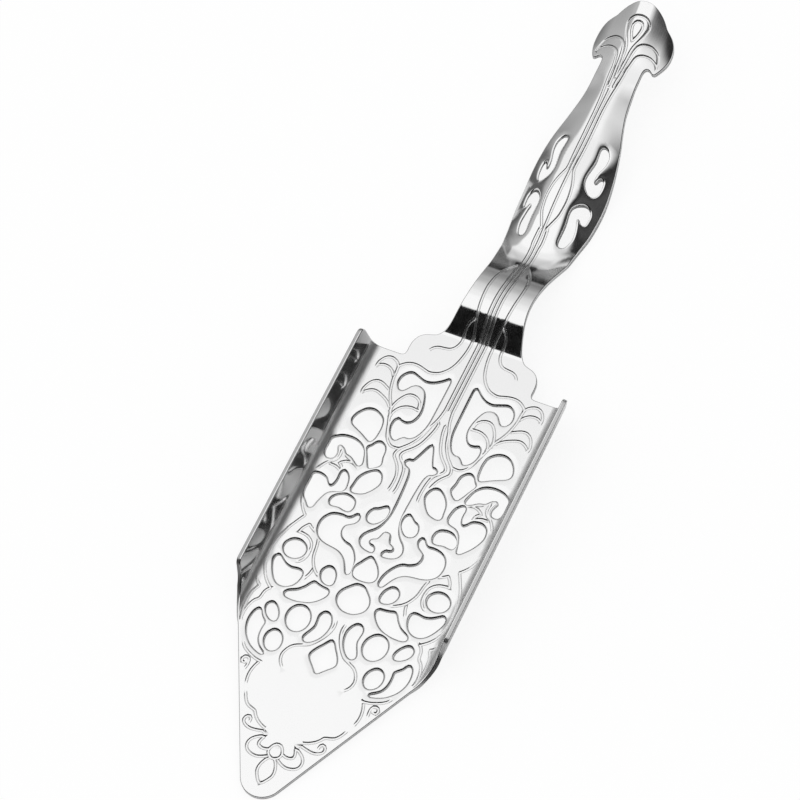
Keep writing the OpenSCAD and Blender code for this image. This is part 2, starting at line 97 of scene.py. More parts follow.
# Facets where the arch sets in: first line, slope, length at the inner end and that end's place,
# slant of the crease, where and how softly they begin beside the axis, and the way back up
FACET_START = 65.7
FACET_SLOPE = 0.55
FACET_LENGTH = 1.4
FACET_INNER = 1.7
FACET_SLANT = 1.15
FACET_SIDE = 1.5
FACET_SOFT = 0.9
FACET_RETURN = 2.4

# Rounding of a hole's upper edge, of the sheet's outer one and of all lower edges, and the share of
# the steel between two edges that one rounding may take
UPPER_EDGE = 0.42
OUTER_EDGE = 0.2
LOWER_EDGE = 0.1
WEB_SHARE = 0.44
# Angles of the rows of points on the upper and the lower rounding
UPPER_TURNS = np.radians([35, 65, 90])
LOWER_TURNS = np.radians([90, 45])
# Polishing wears the face down a little beside every hole: width and depth of that fall, its rows
# of points by share of the width and step, and the share of its way that a row keeps from edges
WORN_WIDTH = 0.85
WORN_DEPTH = 0.065
WORN_ROWS = ((0.42, 0.55), (1.0, 0.8))
WORN_CLEAR = 0.9

# Engraved line: half the width of its floor, half its whole width, its depth, the length over which
# a free end runs out, and how far from other lines an end is free
LINE_FLOOR = 0.06
LINE_HALF = 0.34
LINE_DEPTH = 0.25
LINE_TAPER = 0.9
LINE_APART = 0.69
# Beside an edge the engraving stops short, and comes to its full depth over the second length
LINE_SHORT = 0.05
LINE_RISE = 0.3

# Added roughness: on the lines' floor and in the fold, where the polishing wheel hardly reaches,
# and on the two facets, which stand for fine hatching. It comes up over this length at the fold and
# over this depth on the facets.
LINE_SATIN = 0.12
FOLD_SATIN = 0.28
FACET_SATIN = 0.15
FOLD_EASE = 0.5
FACET_FULL = 0.15

# Steps along the edges and the engraved lines, and how near to an edge an engraved row goes
EDGE_STEP = 0.3
LINE_STEP = 0.42
LINE_CLEAR = 0.1
# Room that other points leave to an edge of the upper face, of the lower one, and to a line
EDGE_ROOM = 0.15
LOWER_ROOM = 0.25
LINE_ROOM = LINE_HALF + 0.08
# From and to across and along the sheet, for the points on floor, handle and facets
FLOOR_SPAN = ((-16.5, 16.6), (-36.5, HANDLE_START))
HANDLE_SPAN = ((-8, 8.01), (HANDLE_START, 123.6))
FACET_SPAN = ((-5.7, 5.71), (65.4, 74))
# Points handled at a time, to save memory
BATCH = 1500

# Outline of the sheet, right half

flange_cut = [
    (16.81, -9.8), (18.14, -6.6), (19.09, -5.1), (20.11, -4.15), (21.64, -3.2), (22.36, -2.75),
    (22.76, -2.1)]
shoulder_to_bud = [
    (12.9, 45.05), (12.25, 45.2), (11.95, 45.75), (11.95, 46.8), (11.8, 48.1), (11.2, 49.35),
    (10.2, 50.1), (9.1, 50.45), (8.3, 50.8), (7.65, 51.5), (7.15, 52.3), (6.75, 53.4), (6.4, 54.8),
    (6.05, 56.6), (5.75, 58.8), (5.6, 61.5), (5.6, 64.5), (5.75, 67.5), (6.25, 71.5), (6.8, 75.6),
    (7.4, 80), (7.65, 85), (7.55, 88.5), (7.15, 92), (6.35, 96), (5.3, 99.8), (4.55, 103.2),
    (4.15, 107), (4.05, 110), (4.05, 111.6), (4.25, 112.35), (4.65, 112.65), (5.15, 112.5),
    (5.6, 112.15), (6.05, 112.2), (6.45, 112.85), (6.9, 114), (7.2, 115.3), (7.3, 116.7), (7.2, 118),
    (6.9, 119.1), (6.35, 119.95), (5.65, 120.55), (4.95, 121.05), (4.5, 121.6), (3.95, 122.2),
    (3.2, 122.8), (2.3, 123.3), (1.2, 123.65), (0, 123.79)]

# Piercing, right half

scroll_slot = [
    (2.65, 43.5), (3.85, 42.5), (5.1, 41.8), (6.4, 41.6), (7.7, 42), (9, 42.4), (10, 42), (10.6, 41),
    (10.65, 39.8), (10.1, 38.9), (9.4, 38.8), (8.8, 39.4), (8.2, 40.15), (7.3, 40.6), (6.3, 40.45),
    (5.5, 39.8), (4.85, 38.4), (4.4, 36.5), (4.5, 35), (5.1, 33.8), (6, 33.2), (6.9, 33.25), (7.6, 33.5),
    (8.05, 33), (8.15, 31.9), (7.8, 30.7), (7.15, 29.9), (6.45, 29.65), (5.9, 30.2), (5.2, 30.75),
    (4.4, 30.8), (3.55, 31.4), (2.85, 32.8), (2.45, 34.6), (2.35, 38), (2.3, 42.3), (2.35, 43.2)]
half_round = [
    (9.8, 31), (10.15, 32.3), (11.1, 33.15), (12.35, 33.5), (13.6, 33.15), (14.55, 32.1), (15, 30.9),
    (14.85, 30.1), (14.2, 29.6), (12.4, 28.8), (11.1, 28.1), (10.4, 27.85), (10, 28.3), (9.8, 29.6)]
shard = [
    (8.55, 28.3), (9.25, 27.95), (9.65, 27.3), (10.1, 26.8), (10.15, 26.3), (9.65, 25.4), (9, 24.2),
    (8.35, 23.2), (7.7, 23.35), (7, 24), (6.75, 24.6), (7.05, 25.8), (7.15, 26.9), (7.4, 27.6),
    (7.9, 28.1)]
crescent = [
    (9.85, 23.3), (10.1, 24.6), (10.6, 25.85), (11.6, 26.75), (12.85, 27.2), (14.25, 27.25), (15.6, 26.9),
    (16.45, 26.1), (16.8, 24.9), (16.7, 23.5), (16.2, 22.6), (15.45, 22.5), (14.9, 22.85), (14.75, 23.6),
    (14.95, 24.3), (15.2, 24.9), (15, 25.35), (14.5, 25.45), (13.75, 25.05), (13.1, 24.35),
    (12.05, 24.05), (11.05, 23.4), (10.3, 22.95)]
bract = [
    (9.75, 22.5), (9, 21.7), (8.65, 20.6), (8.55, 19.5), (8.85, 18.85), (9.6, 18.55), (10.4, 18.35),
    (11.2, 17.75), (11.7, 16.8), (12.1, 15.5), (12.35, 14.5), (12.9, 14.3), (13.6, 14.95), (14.4, 15.9),
    (15.1, 17.1), (15.5, 18.3), (15.4, 19.4), (15, 20.15), (14.2, 20.55), (13.3, 20.5), (12.5, 20.2),
    (11.9, 19.5), (11.35, 19.1), (10.85, 19.3), (10.5, 20), (10.4, 20.9), (10.45, 21.8), (10.3, 22.45)]
leaf = [
    (3.25, 22.5), (3.75, 23.45), (4.6, 23.75), (5.45, 23.4), (6.35, 22.5), (6.95, 21.4), (7.15, 20.1),
    (7.25, 19.1), (6.85, 18.7), (6, 18.75), (5, 19.1), (4.25, 19.8), (3.6, 20.7), (3.2, 21.6)]
kidney = [
    (7.65, 16.1), (8, 16.75), (8.75, 17.1), (9.8, 17.2), (10.9, 16.85), (11.65, 16.1), (11.85, 15.2),
    (11.5, 14.65), (10.85, 14.6), (9.8, 14.7), (8.75, 14.5), (7.95, 14.6), (7.6, 15.3)]
seed = [
    (2.1, 17.65), (2.75, 17.25), (3.4, 16.75), (4.1, 16.45), (4.5, 15.75), (4.6, 15), (4.3, 14.3),
    (3.65, 14), (2.9, 14.1), (2.05, 14.8), (1.5, 15.65), (1.4, 16.6), (1.6, 17.3)]
comma = [
    (5.9, 14.5), (6.4, 14.4), (6.9, 13.8), (7.6, 13.4), (8.6, 13.45), (9.7, 13.3), (10.6, 12.9),
    (11.25, 12.1), (11.55, 11.1), (11.5, 10.1), (11.2, 9.2), (10.6, 8.55), (9.8, 8.1), (8.7, 7.8),
    (7.5, 7.65), (6.3, 7.4), (5.25, 6.8), (4.5, 6), (3.9, 5), (3.45, 4.2), (3.05, 4), (2.7, 4.35),
    (2.7, 5.2), (2.95, 6.2), (3.4, 7.2), (4.1, 8.2), (4.95, 8.85), (5.95, 9.1), (6.95, 9.65), (7.5, 10.4),
    (7.65, 11.2), (7.4, 12), (6.75, 12.5), (6.05, 13), (5.7, 13.75)]
drop = [
    (4.05, 2.2), (4.25, 3.4), (4.85, 4.3), (5.6, 4.6), (6.35, 4.3), (6.75, 3.4), (6.45, 2.4), (5.85, 1.8),
    (5.05, 1.5), (4.35, 1.6)]
boat = [
    (4.55, -0.2), (4.85, 0.15), (5.8, 0.25), (6.7, 0.4), (7.5, 0.6), (8, 0.2), (8.6, -0.7), (9.5, -1.6),
    (10.4, -2.1), (11.15, -2.45), (11.4, -3), (11.05, -3.4), (10.1, -3.55), (8.8, -3.5), (7.4, -3.2),
    (6.1, -2.55), (5.1, -1.6), (4.6, -0.8)]
horn = [
    (10.15, 0.8), (10.4, 1.55), (11.2, 1.7), (12.4, 1.55), (13.5, 1.8), (14.5, 2.4), (15.2, 2.9),
    (15.75, 2.75), (15.9, 1.9), (15.5, 0.7), (14.8, -0.55), (13.95, -1.5), (12.9, -1.95), (11.8, -1.8),
    (10.9, -1.2), (10.35, -0.25)]
bean = [
    (3.05, -3.6), (3.65, -3.85), (3.95, -4.6), (3.85, -5.5), (3.8, -6.5), (4.1, -7.35), (4.55, -8.2),
    (4.8, -8.9), (4.6, -9.45), (4, -9.55), (3.3, -9.2), (2.5, -8.4), (1.95, -7.4), (1.65, -6.3),
    (1.65, -5.2), (2.05, -4.2), (2.5, -3.75)]
pip = [
    (12.75, -4), (13.35, -4.5), (13.3, -5.4), (12.75, -6.2), (11.85, -6.8), (11.05, -6.9), (10.75, -6.5),
    (10.85, -5.7), (11.35, -4.8), (12.05, -4.15)]
sickle = [
    (14.05, -7.15), (14.5, -7.5), (14.8, -8.5), (14.85, -9.6), (14.6, -10.8), (14, -12), (13.1, -13),
    (12.1, -13.7), (11, -14.15), (10, -14.35), (9.95, -14.05), (10.75, -13.55), (11.5, -12.9),
    (12.05, -11.95), (12.25, -10.9), (12.25, -9.9), (12.2, -9.05), (12.8, -8.45), (13.3, -7.9),
    (13.6, -7.35)]

# The left hole of some pairs stands a little further out and along
pierced_pairs = [
    (scroll_slot, (0, 0)), (half_round, (0, 0)), (shard, (0, 0)), (crescent, (0, 0)),
    (bract, (1.9, -1.4)), (leaf, (2.15, -0.6)), (kidney, (0, 0)), (seed, (0, 0)), (comma, (0, 0)),
    (drop, (0.5, -0.5)), (boat, (0, 0)), (horn, (0, 0)), (bean, (0, 0)), (pip, (-0.2, -1.3)),
    (sickle, (0, 0))]

# Ovals: centre, half width and half length, turn in degrees
ovals = [
    ((13.45, 4.95), (1.95, 1.68), 0),
    ((7.2, -6.3), (2, 2.3), -10),
    ((9.35, -11.4), (1.45, 1.85), -15)]

# Holes on the axis: right half, with the first point on the axis
channel_side = [
    (0, 30.9), (0.45, 30.2), (1.1, 28.5), (1.75, 27.2), (2.5, 27), (2.9, 26.5), (2.5, 26), (1.7, 25.6),
    (1.2, 24.4), (0.95, 22), (0.85, 20), (0.8, 18), (0.95, 16.3), (1.25, 15), (1.7, 13.85), (2.4, 12.95),
    (3.1, 12.3), (3.6, 11.6), (3.8, 10.8), (3.6, 10.1), (3.1, 9.6), (2.4, 9.3), (1.5, 9.15), (0.9, 9.2),
    (0.9, 9.75), (1.2, 10.15), (1.8, 10.25), (2.3, 10.65), (2.25, 11.2), (1.75, 11.6), (1.25, 11.85),
    (1, 12.5), (0.8, 13.1), (0.4, 13.5)]
diamond_side = [
    (0, -7.9), (0.45, -8.2), (1, -9), (1.65, -9.85), (2.15, -10.7), (2.35, -11.45), (2.05, -12.05),
    (1.4, -12.7), (0.7, -13.4), (0.2, -13.9)]
centre_side = [
    (0, 2.9), (0.8, 2.75), (1.7, 1.95), (2.4, 1.15), (2.75, 0.2), (2.65, -0.7), (2.2, -1.4), (1.35, -2),
    (0.5, -2.25)]
keystone = [
    (-0.65, 8.2), (0, 7.95), (0.95, 7.05), (1.55, 6.1), (1.85, 5.2), (1.65, 4.5), (1.1, 4.05), (0, 3.85),
    (-1, 3.85), (-1.85, 4.1), (-2.35, 4.65), (-2.5, 5.4), (-2.3, 6), (-1.75, 6.75), (-1.2, 7.65)]

lower_slot = [
    (3.15, 82), (3.1, 81.2), (3.2, 80.2), (3.3, 78.8), (3.25, 77.3), (3.2, 76), (3.4, 75.25), (3.85, 75.1),
    (4.4, 75.5), (4.8, 76.5), (5, 77.7), (4.9, 79), (4.65, 80.2), (4.4, 80.9), (4.5, 81.35), (4.9, 81.3),
    (5.15, 80.95), (5.5, 80.8), (5.85, 81.1), (6, 82), (6, 83.1), (5.7, 83.8), (5.2, 84.1), (4.55, 83.9),
    (3.85, 83.3), (3.35, 82.6)]
upper_slot = [
    (3.35, 95.1), (3.75, 95.45), (4.25, 95.35), (4.7, 94.85), (5, 94.1), (5.05, 93.2), (4.95, 92.3),
    (4.7, 91.35), (4.45, 90.4), (4.35, 89.4), (4.4, 88.8), (4.7, 88.55), (4.95, 88.8), (5.15, 89.4),
    (5.45, 89.9), (5.75, 89.75), (5.9, 89), (5.9, 88), (5.75, 87.1), (5.4, 86.4), (5, 86.1), (4.5, 86.15),
    (3.95, 86.6), (3.45, 87.3), (3.2, 88.1), (3.15, 89.1), (3.3, 90.3), (3.45, 91.4), (3.5, 92.4),
    (3.4, 93.5), (3.3, 94.4)]

# Engraved lines, right half

tip_flower = [
    [(0, -27.6), (0.45, -27.7), (0.85, -28.1), (1.1, -28.6), (1.2, -29.1), (1, -29.65), (0.55, -30),
     (0.15, -30.15)],
    [(1.3, -28.95), (1.75, -29.1), (2.3, -29.17), (2.85, -29.05), (3.2, -28.85), (3.28, -28.3),
     (3.08, -27.75), (2.88, -27.32)],
    [(2.88, -27.3), (3.4, -27.35), (4.05, -27.75), (4.55, -28.15), (4.95, -28.8), (5, -29.45),
     (4.78, -30.05), (4.25, -30.5), (3.5, -30.75), (2.7, -30.8), (1.95, -30.6), (1.35, -30.3),
     (0.95, -30.05)],
    [(0.5, -30.2), (0.9, -30.7), (1.2, -31.3), (1.42, -32.05), (1.42, -32.85), (1.12, -33.5),
     (0.72, -34.1), (0.35, -34.55), (0.1, -34.7)]]
tip_curls = [
    [(3.65, -26.5), (4.3, -26.65), (5.15, -26.8), (5.95, -26.82), (6.7, -26.62), (7.27, -26.2),
     (7.47, -25.7), (7.32, -25.25), (6.95, -24.95), (6.55, -25), (6.4, -25.3), (6.35, -25.7),
     (6.4, -26.05)],
    [(3.48, -25.9), (4.15, -25.7), (4.85, -25.35), (5.45, -24.95), (6, -24.4), (6.45, -23.78),
     (7.15, -23.58), (8, -23.27), (8.5, -22.82), (8.9, -22.25), (9.22, -21.65), (9.4, -21.22)]]
cartouche = [
    [(9.75, -15.9), (10.1, -16.8), (10.3, -17.8), (10.3, -18.7), (10.15, -19.5), (9.95, -20.1)],
    [(9.6, -15.65), (10.6, -15.5), (11.6, -15.15), (12.5, -14.75), (13.3, -14.2), (13.9, -13.4)],
    [(11.45, -17.9), (11.3, -17), (11.35, -16.2), (11.7, -15.75), (12.3, -15.75), (12.6, -16.25),
     (12.4, -16.8), (11.95, -16.85), (11.7, -16.45)],
    [(0.97, -4.3), (0.75, -5.2), (0.85, -6.2), (1.2, -7.2), (1.75, -8.2), (2.5, -9.2), (3.3, -9.95),
     (4.3, -10.4), (5.3, -10.85), (5.9, -11.3), (6.4, -12), (6.75, -13), (6.6, -14), (6.15, -14.75),
     (5.6, -15.3)]]
wavy_frame = [
    [(13.85, -3.1), (14.3, -3.5), (14.65, -4.2), (14.75, -5), (14.95, -5.6), (15.5, -6.1),
     (15.85, -6.85), (16.1, -7.7), (16.2, -8.7), (16.2, -9.6)],
    [(16.9, -2), (16.7, -2.65), (16.15, -3.2), (15.85, -3.35), (16.2, -4.1), (16.5, -5), (16.6, -6.5),
     (16.55, -8), (16.3, -9.2), (16, -10.1)],
    [(14.5, 11.1), (14.95, 10.3), (15.45, 9.35), (15.95, 8.35), (16.3, 7.35), (16.6, 6.35),
     (16.85, 5.35), (16.95, 4.3), (17, 3), (16.95, 1.7), (16.7, 0.4), (16.3, -0.5), (15.75, -1.45),
     (15.1, -2.2), (14.45, -2.75), (13.9, -3.12)],
    [(14.5, 11.1), (15.05, 11.65), (15.6, 12.3), (16.05, 13.05), (16.45, 14), (16.8, 15)]]
side_loop = [
    [(13.02, 9.85), (12.45, 9.45), (11.65, 9.03), (10.95, 8.6), (10.45, 8), (10.15, 7.1), (9.97, 6.2),
     (9.85, 5.3), (9.6, 4.4), (9.15, 3.5), (8.65, 2.8), (7.95, 2.15), (7.1, 1.65), (6.2, 1.2)],
    [(13.02, 9.85), (13.45, 9.37), (13.87, 8.7), (14.12, 7.95)],
    [(14.12, 7.95), (13.6, 7.95), (12.85, 7.87), (12.15, 7.65), (11.5, 7.2), (11, 6.55), (10.8, 5.75),
     (10.75, 4.9), (10.87, 4.1), (11.2, 3.45), (11.7, 2.92), (12.25, 2.77)],
    [(8.8, 2.3), (8.95, 1.6), (9.2, 1), (9.4, 0.3)]]
channel_frame = [
    [(0.6, 35), (0.7, 34), (0.9, 33.1), (1.2, 32.1), (1.6, 31), (2.05, 30.1), (2.7, 29.25),
     (3.3, 28.65), (3.9, 28.05), (4.2, 27.45), (4.1, 26.95), (3.6, 26.4), (3.05, 25.9), (2.6, 25.2),
     (2.38, 24.35), (2.22, 23.3), (2.15, 22.2), (2.15, 21.2), (2.33, 20.1)],
    [(4.4, 28.9), (4.95, 28.2), (5.25, 27.45), (5.25, 26.85), (4.8, 26.3), (4.3, 25.75), (3.85, 25.1),
     (3.5, 24.35), (3.22, 23.45), (3.15, 22.45), (3.2, 21.35), (3.38, 20.3)]]
slot_frame = [
    [(1.95, 52), (2, 50), (2.25, 48.3), (2.65, 46.75), (3.2, 45.55), (3.95, 44.6), (4.8, 43.9),
     (5.75, 43.55), (6.65, 43.45), (7.65, 43.72), (8.7, 43.97), (9.7, 44.02), (10.6, 43.8),
     (11.3, 43.35), (11.85, 42.85), (11.95, 42.4), (11.85, 41.5), (11.8, 40.3), (11.55, 39),
     (11.2, 37.8), (10.7, 36.65), (10.15, 35.7), (9.7, 34.85), (9.4, 33.9), (9.1, 32.8), (8.65, 31.6),
     (8.25, 30.4), (7.85, 29.5), (7.25, 28.75), (6.5, 28.25), (5.75, 28.2), (4.95, 28.35),
     (4.35, 28.95), (3.75, 29.55), (3.2, 30.3), (2.7, 31.1), (2.25, 32.1), (1.95, 33.1),
     (1.65, 34.2), (1.25, 35.2), (0.95, 36.3), (0.75, 37.5)]]
leaf_crescents = [
    [(12, 42.65), (12.5, 43.3), (13.2, 43.7), (13.95, 43.83), (14.7, 43.55), (15.25, 42.9),
     (15.6, 42.05), (15.6, 41)],
    [(12.15, 40.8), (12.55, 41.35), (13.2, 41.85), (14, 42.07), (14.8, 42), (15.4, 41.67)],
    [(11.7, 38), (12.4, 38.4), (13.2, 38.75), (14, 38.85), (14.75, 38.55), (15.3, 37.95),
     (15.65, 37.2), (15.85, 36.3), (15.65, 35.4)],
    [(10.1, 34.95), (10.7, 35.6), (11.5, 36.15), (12.35, 36.55), (13.25, 36.88), (14, 36.93),
     (14.75, 36.65), (15.4, 36.15)]]
tongue_petals = [
    [(5.2, 36.6), (5.4, 37.4), (5.9, 38), (6.65, 38.35), (7.4, 38.4), (8.1, 38.1), (8.65, 37.45),
     (9.1, 36.7), (9.45, 35.8), (9.6, 35), (9.6, 34.3)],
    [(5.4, 36.1), (6.1, 36.18), (6.9, 36.1), (7.7, 35.8), (8.35, 35.3), (8.85, 34.6), (9.1, 33.85),
     (9.15, 33.1)]]
scroll_ends = [
    [(10.4, 22.95), (11.2, 23.3), (12.1, 23.45), (12.8, 23.75), (13.35, 24.3), (13.95, 24.85),
     (13.98, 24.15), (13.92, 23.35), (14.1, 22.7), (14.55, 22.15), (15.1, 21.85), (15.65, 21.25),
     (16.15, 20.4), (16.5, 19.6)],
    [(12.45, 22.8), (13.05, 22.45), (13.4, 22.1), (12.9, 21.8), (12.58, 21.35), (12.5, 20.85)],
    [(12.45, 20.6), (13.1, 21.1), (13.9, 21.38), (14.7, 21.4)],
    [(9.9, 22.2), (10.3, 22.5), (11, 22.85), (11.7, 22.97), (12.4, 22.85)]]
shoulder_scroll = [
    [(2.75, 55), (3, 54.75), (3.45, 54.2), (3.75, 53.2), (3.75, 52), (3.72, 51), (4, 50), (4.55, 49.2),
     (5.2, 48.82), (6.1, 48.66), (7, 48.55), (7.65, 48.25), (8.15, 47.7), (8.25, 47.2)]]
neck_loop = [
    [(2, 52), (2.1, 53), (2.35, 54.3), (2.55, 55.5), (2.8, 57.5), (2.97, 59.5), (3.08, 61.3),
     (3.05, 62.8), (2.95, 64.2), (2.7, 65.45), (2.25, 66.45), (1.65, 67.4), (1.05, 68.2)]]
stem_lines = [
    [(0, 38), (0, 48), (0, 60), (0, 72), (0, 84), (0, 95), (0, 106)],
    [(0.7, 38), (0.7, 48), (0.7, 60), (0.7, 72), (0.85, 74), (0.8, 76), (0.7, 77)],
    [(0.5, 77.1), (0.85, 77.95), (1.3, 79), (1.67, 80), (1.87, 81.2), (1.98, 82.6), (1.93, 84),
     (1.73, 85.5), (1.4, 86.8), (1.02, 87.9), (0.68, 88.85), (0.62, 89.75)],
    [(0.62, 90), (0.7, 93), (0.72, 97), (0.7, 101), (0.78, 103.5), (0.92, 105.5), (1.12, 107.5),
     (1.28, 109.5), (1.35, 111), (1.6, 112.6), (1.8, 113.6), (2.2, 114.2), (2.8, 114.6),
     (3.5, 114.8), (4.2, 114.8), (4.95, 114.5), (5.5, 114.1), (5.8, 113.65)]]
bud_lines = [
    [(0.45, 107), (0.55, 109), (0.7, 111), (0.8, 112.5), (0.95, 113.8), (1.1, 114.8), (1.4, 115.7),
     (1.9, 116.3), (2.6, 116.67), (3.35, 116.85), (4.05, 116.72), (4.7, 116.4), (5.2, 115.9),
     (5.55, 115), (5.75, 114.2), (5.8, 113.7)],
    [(0, 121.12), (0.7, 121.03), (1.35, 120.78), (1.82, 120.3), (2.08, 119.6), (1.93, 118.85),
     (1.7, 118), (1.3, 117), (0.9, 116.1), (0.6, 115.2), (0.45, 114.2), (0.38, 113), (0.25, 111),
     (0.1, 109)],
    [(0, 120.1), (0.5, 119.97), (0.9, 119.45), (0.92, 118.85), (0.72, 118), (0.4, 117.2),
     (0.08, 116.6)]]
engraving = (
    tip_flower + tip_curls + cartouche + wavy_frame + side_loop + channel_frame + slot_frame
    + leaf_crescents + tongue_petals + scroll_ends + shoulder_scroll + neck_loop + stem_lines
    + bud_lines)

# Pressed heights of the handle

hump, dip, stem, bud_rise = 3.2, 1.4, 2.3, 5.5
ridge_table = np.array([
    (50, 0), (51, 0), (51.3, 0.01 * hump), (52, 0.1 * hump), (55, 0.66 * hump), (55.7, 0.78 * hump),
    (56.5, 0.89 * hump), (57.6, 0.97 * hump), (59, hump), (61, 0.92 * hump), (63, 0.72 * hump),
    (65.5, 0.36 * hump), (68, -0.05 * dip), (70, -0.75 * dip), (72, -dip), (75, -0.8 * dip),
    (78, -0.3 * dip), (82, 0.2 * stem), (86, 0.42 * stem), (90, 0.5 * stem), (95, 0.56 * stem),
    (100, 0.72 * stem), (106, 0.88 * stem), (112, stem), (116, 0.8 * stem + 0.2 * bud_rise),
    (120, 0.43 * stem + 0.57 * bud_rise), (123.8, bud_rise), (127.8, 1.35 * bud_rise)])
arch_table = np.array([
    (51, 0), (69, 0), (70, 0.03), (73, 0.4), (76, 0.65), (80, 0.91), (84, 1), (90, 0.78), (95, 0.61),
    (100, 0.56), (105, 0.43), (109, 0.25), (112, 0.3), (116, 0.53), (120, 0.7), (127.8, 0.8)])


def through(table, v):
    """Height at v on the smooth line through a table: a cubic between neighbours, level at each
    highest and lowest entry and with the harmonic mean of the two slopes elsewhere."""
    x, y = table[:, 0], table[:, 1]
    step = np.diff(y) / np.diff(x)
    product = step[:-1] * step[1:]
    total = step[:-1] + step[1:]
    inner = np.where(product > 0, 2 * product / np.where(total == 0, 1, total), 0)
    lean = np.concatenate([step[:1], inner, step[-1:]])
    v = np.clip(v, x[0], x[-1])
    i = np.clip(np.searchsorted(x, v, side="left") - 1, 0, len(x) - 2)
    h = x[i + 1] - x[i]
    q = (v - x[i]) / h
    return (y[i] * (1 + 2 * q) * (1 - q) ** 2 + y[i + 1] * q * q * (3 - 2 * q)
            + h * (lean[i] * q * (1 - q) ** 2 - lean[i + 1] * q * q * (1 - q)))


def fall(u, flat, soft):
    """Drop of the arch at u for a side slope of one: the mean of two rounded corners, one at each
    end of the flat ridge, less its value on the axis."""
    return ((np.hypot(u - flat, soft) + np.hypot(u + flat, soft)) / 2
            - np.hypot(flat, soft))


def smooth_step(q):
    """Smooth rise from nought to one as q goes from nought to one."""
    q = np.clip(q, 0, 1)
    return q * q * (3 - 2 * q)


ARCH_SLOPE = ARCH_HEIGHT / fall(ARCH_HALF, ARCH_FLAT, ARCH_SOFT)
STEM_SHARE = STEM_STEEPER * fall(STEM_HALF, ARCH_FLAT, ARCH_SOFT) / fall(
    STEM_HALF, STEM_FLAT, STEM_SOFT)


def arched_height(u, v):
    """Height of the ridge, less the arch's share of its fall, which goes from a broad flat ridge to
    a narrow one along the stem, and less a share of the squared way past the bud's flat middle."""
    narrow = smooth_step((v - STEM_START) / STEM_CHANGE)
    waist = 1 + WAIST_EXTRA * smooth_step(1 - np.abs(v - WAIST_V) / WAIST_REACH)
    drop = ((1 - narrow) * fall(u, ARCH_FLAT, ARCH_SOFT)
            + narrow * waist * STEM_SHARE * fall(u, STEM_FLAT, STEM_SOFT))
    past = np.maximum(np.abs(u) - BUD_FLAT, 0)
    rim = BUD_TURN * past ** 2 * smooth_step((v - BUD_START) / BUD_CHANGE)
    return through(ridge_table, v) - ARCH_SLOPE * through(arch_table, v) * drop - rim


def facet_depth(u, v):
    """Depth of two flat facets where the arch sets in. Each falls evenly from a line across the neck
    to a slanting crease, and behind the crease its depth goes smoothly back to nought."""
    side = np.abs(u)
    crease = FACET_START + FACET_LENGTH + FACET_SLANT * (side - FACET_INNER)
    near = np.minimum(v, crease)
    facet = arched_height(u, np.full_like(v, FACET_START)) - FACET_SLOPE * (near - FACET_START)
    depth = np.clip(arched_height(u, near) - facet, 0, None) * (near > FACET_START)
    depth = depth * smooth_step((side - FACET_SIDE) / FACET_SOFT)
    return depth * (1 - smooth_step((v - crease) / FACET_RETURN))


def pressed_height(u, v):
    """Height of the upper face: the arched height, less the depth of the facets."""
    return arched_height(u, v) - facet_depth(u, v)


def placed(u, v, n):
    """Place in mm of a point of the sheet that lies n above its upper face. Past the fold line the
    sheet turns up round a circle and runs on straight; along the handle it is lifted by the pressed
    height, with n measured square to the face. The whole is then tipped to the way it lies."""
    step = 0.01
    side = np.sign(u)
    s = np.maximum(np.abs(u) - FOLD_U, 0)
    turn = np.minimum(s / FOLD_R, FOLD_TURN)
    leg = np.maximum(s - BEND_LENGTH, 0)
    x = np.where(s > 0, side * (FOLD_U + (FOLD_R - n) * np.sin(turn) + leg * np.cos(turn)), u)
    flat = np.minimum(np.abs(u), FOLD_U) * side
    slope_u = (pressed_height(flat + step, v) - pressed_height(flat - step, v)) / (2 * step)
    slope_v = (pressed_height(flat, v + step) - pressed_height(flat, v - step)) / (2 * step)
    lifted = pressed_height(flat, v) + n * np.sqrt(1 + slope_u ** 2 + slope_v ** 2)
    z = np.where(s > 0, FOLD_R - (FOLD_R - n) * np.cos(turn) + leg * np.sin(turn), lifted)
    return np.stack([
        x,
        REST_COS * v - REST_SIN * z - REST_BACK,
        REST_SIN * v + REST_COS * z + REST_LIFT], axis=-1)


# Drawn lines made smooth

def smooth(points, closed, steps=16):
    """Line through all the drawn points: between two of them, the cubic that their neighbours lean."""
    p = np.array(points, float)
    if closed:
        p = np.vstack([p[-1:], p, p[:2]])
    else:
        p = np.vstack([p[:1], p, p[-1:]])
    t = (np.arange(steps) / steps)[None, :, None]
    a, b, c, d = (p[i:len(p) - 3 + i, None, :] for i in range(4))
    curve = 0.5 * (2 * b + (c - a) * t + (2 * a - 5 * b + 4 * c - d) * t ** 2
                   + (3 * b - a - 3 * c + d) * t ** 3)
    curve = curve.reshape(-1, 2)
    if not closed:
        curve = np.vstack([curve, p[-1:]])
    return curve


def even(line, step, closed=False):
    """The same line with its points a step apart, ends kept."""
    p = np.vstack([line, line[:1]]) if closed else np.asarray(line, float)
    gone = np.concatenate([[0], np.cumsum(np.hypot(*np.diff(p, axis=0).T))])
    count = max(2, int(round(gone[-1] / step)) + 1)
    at = np.linspace(0, gone[-1], count)
    out = np.stack([np.interp(at, gone, p[:, 0]), np.interp(at, gone, p[:, 1])], axis=1)
    return out[:-1] if closed else out


def mirrored(line):
    """The line's other half, run backwards."""
    return (np.asarray(line, float) * [-1, 1])[::-1]


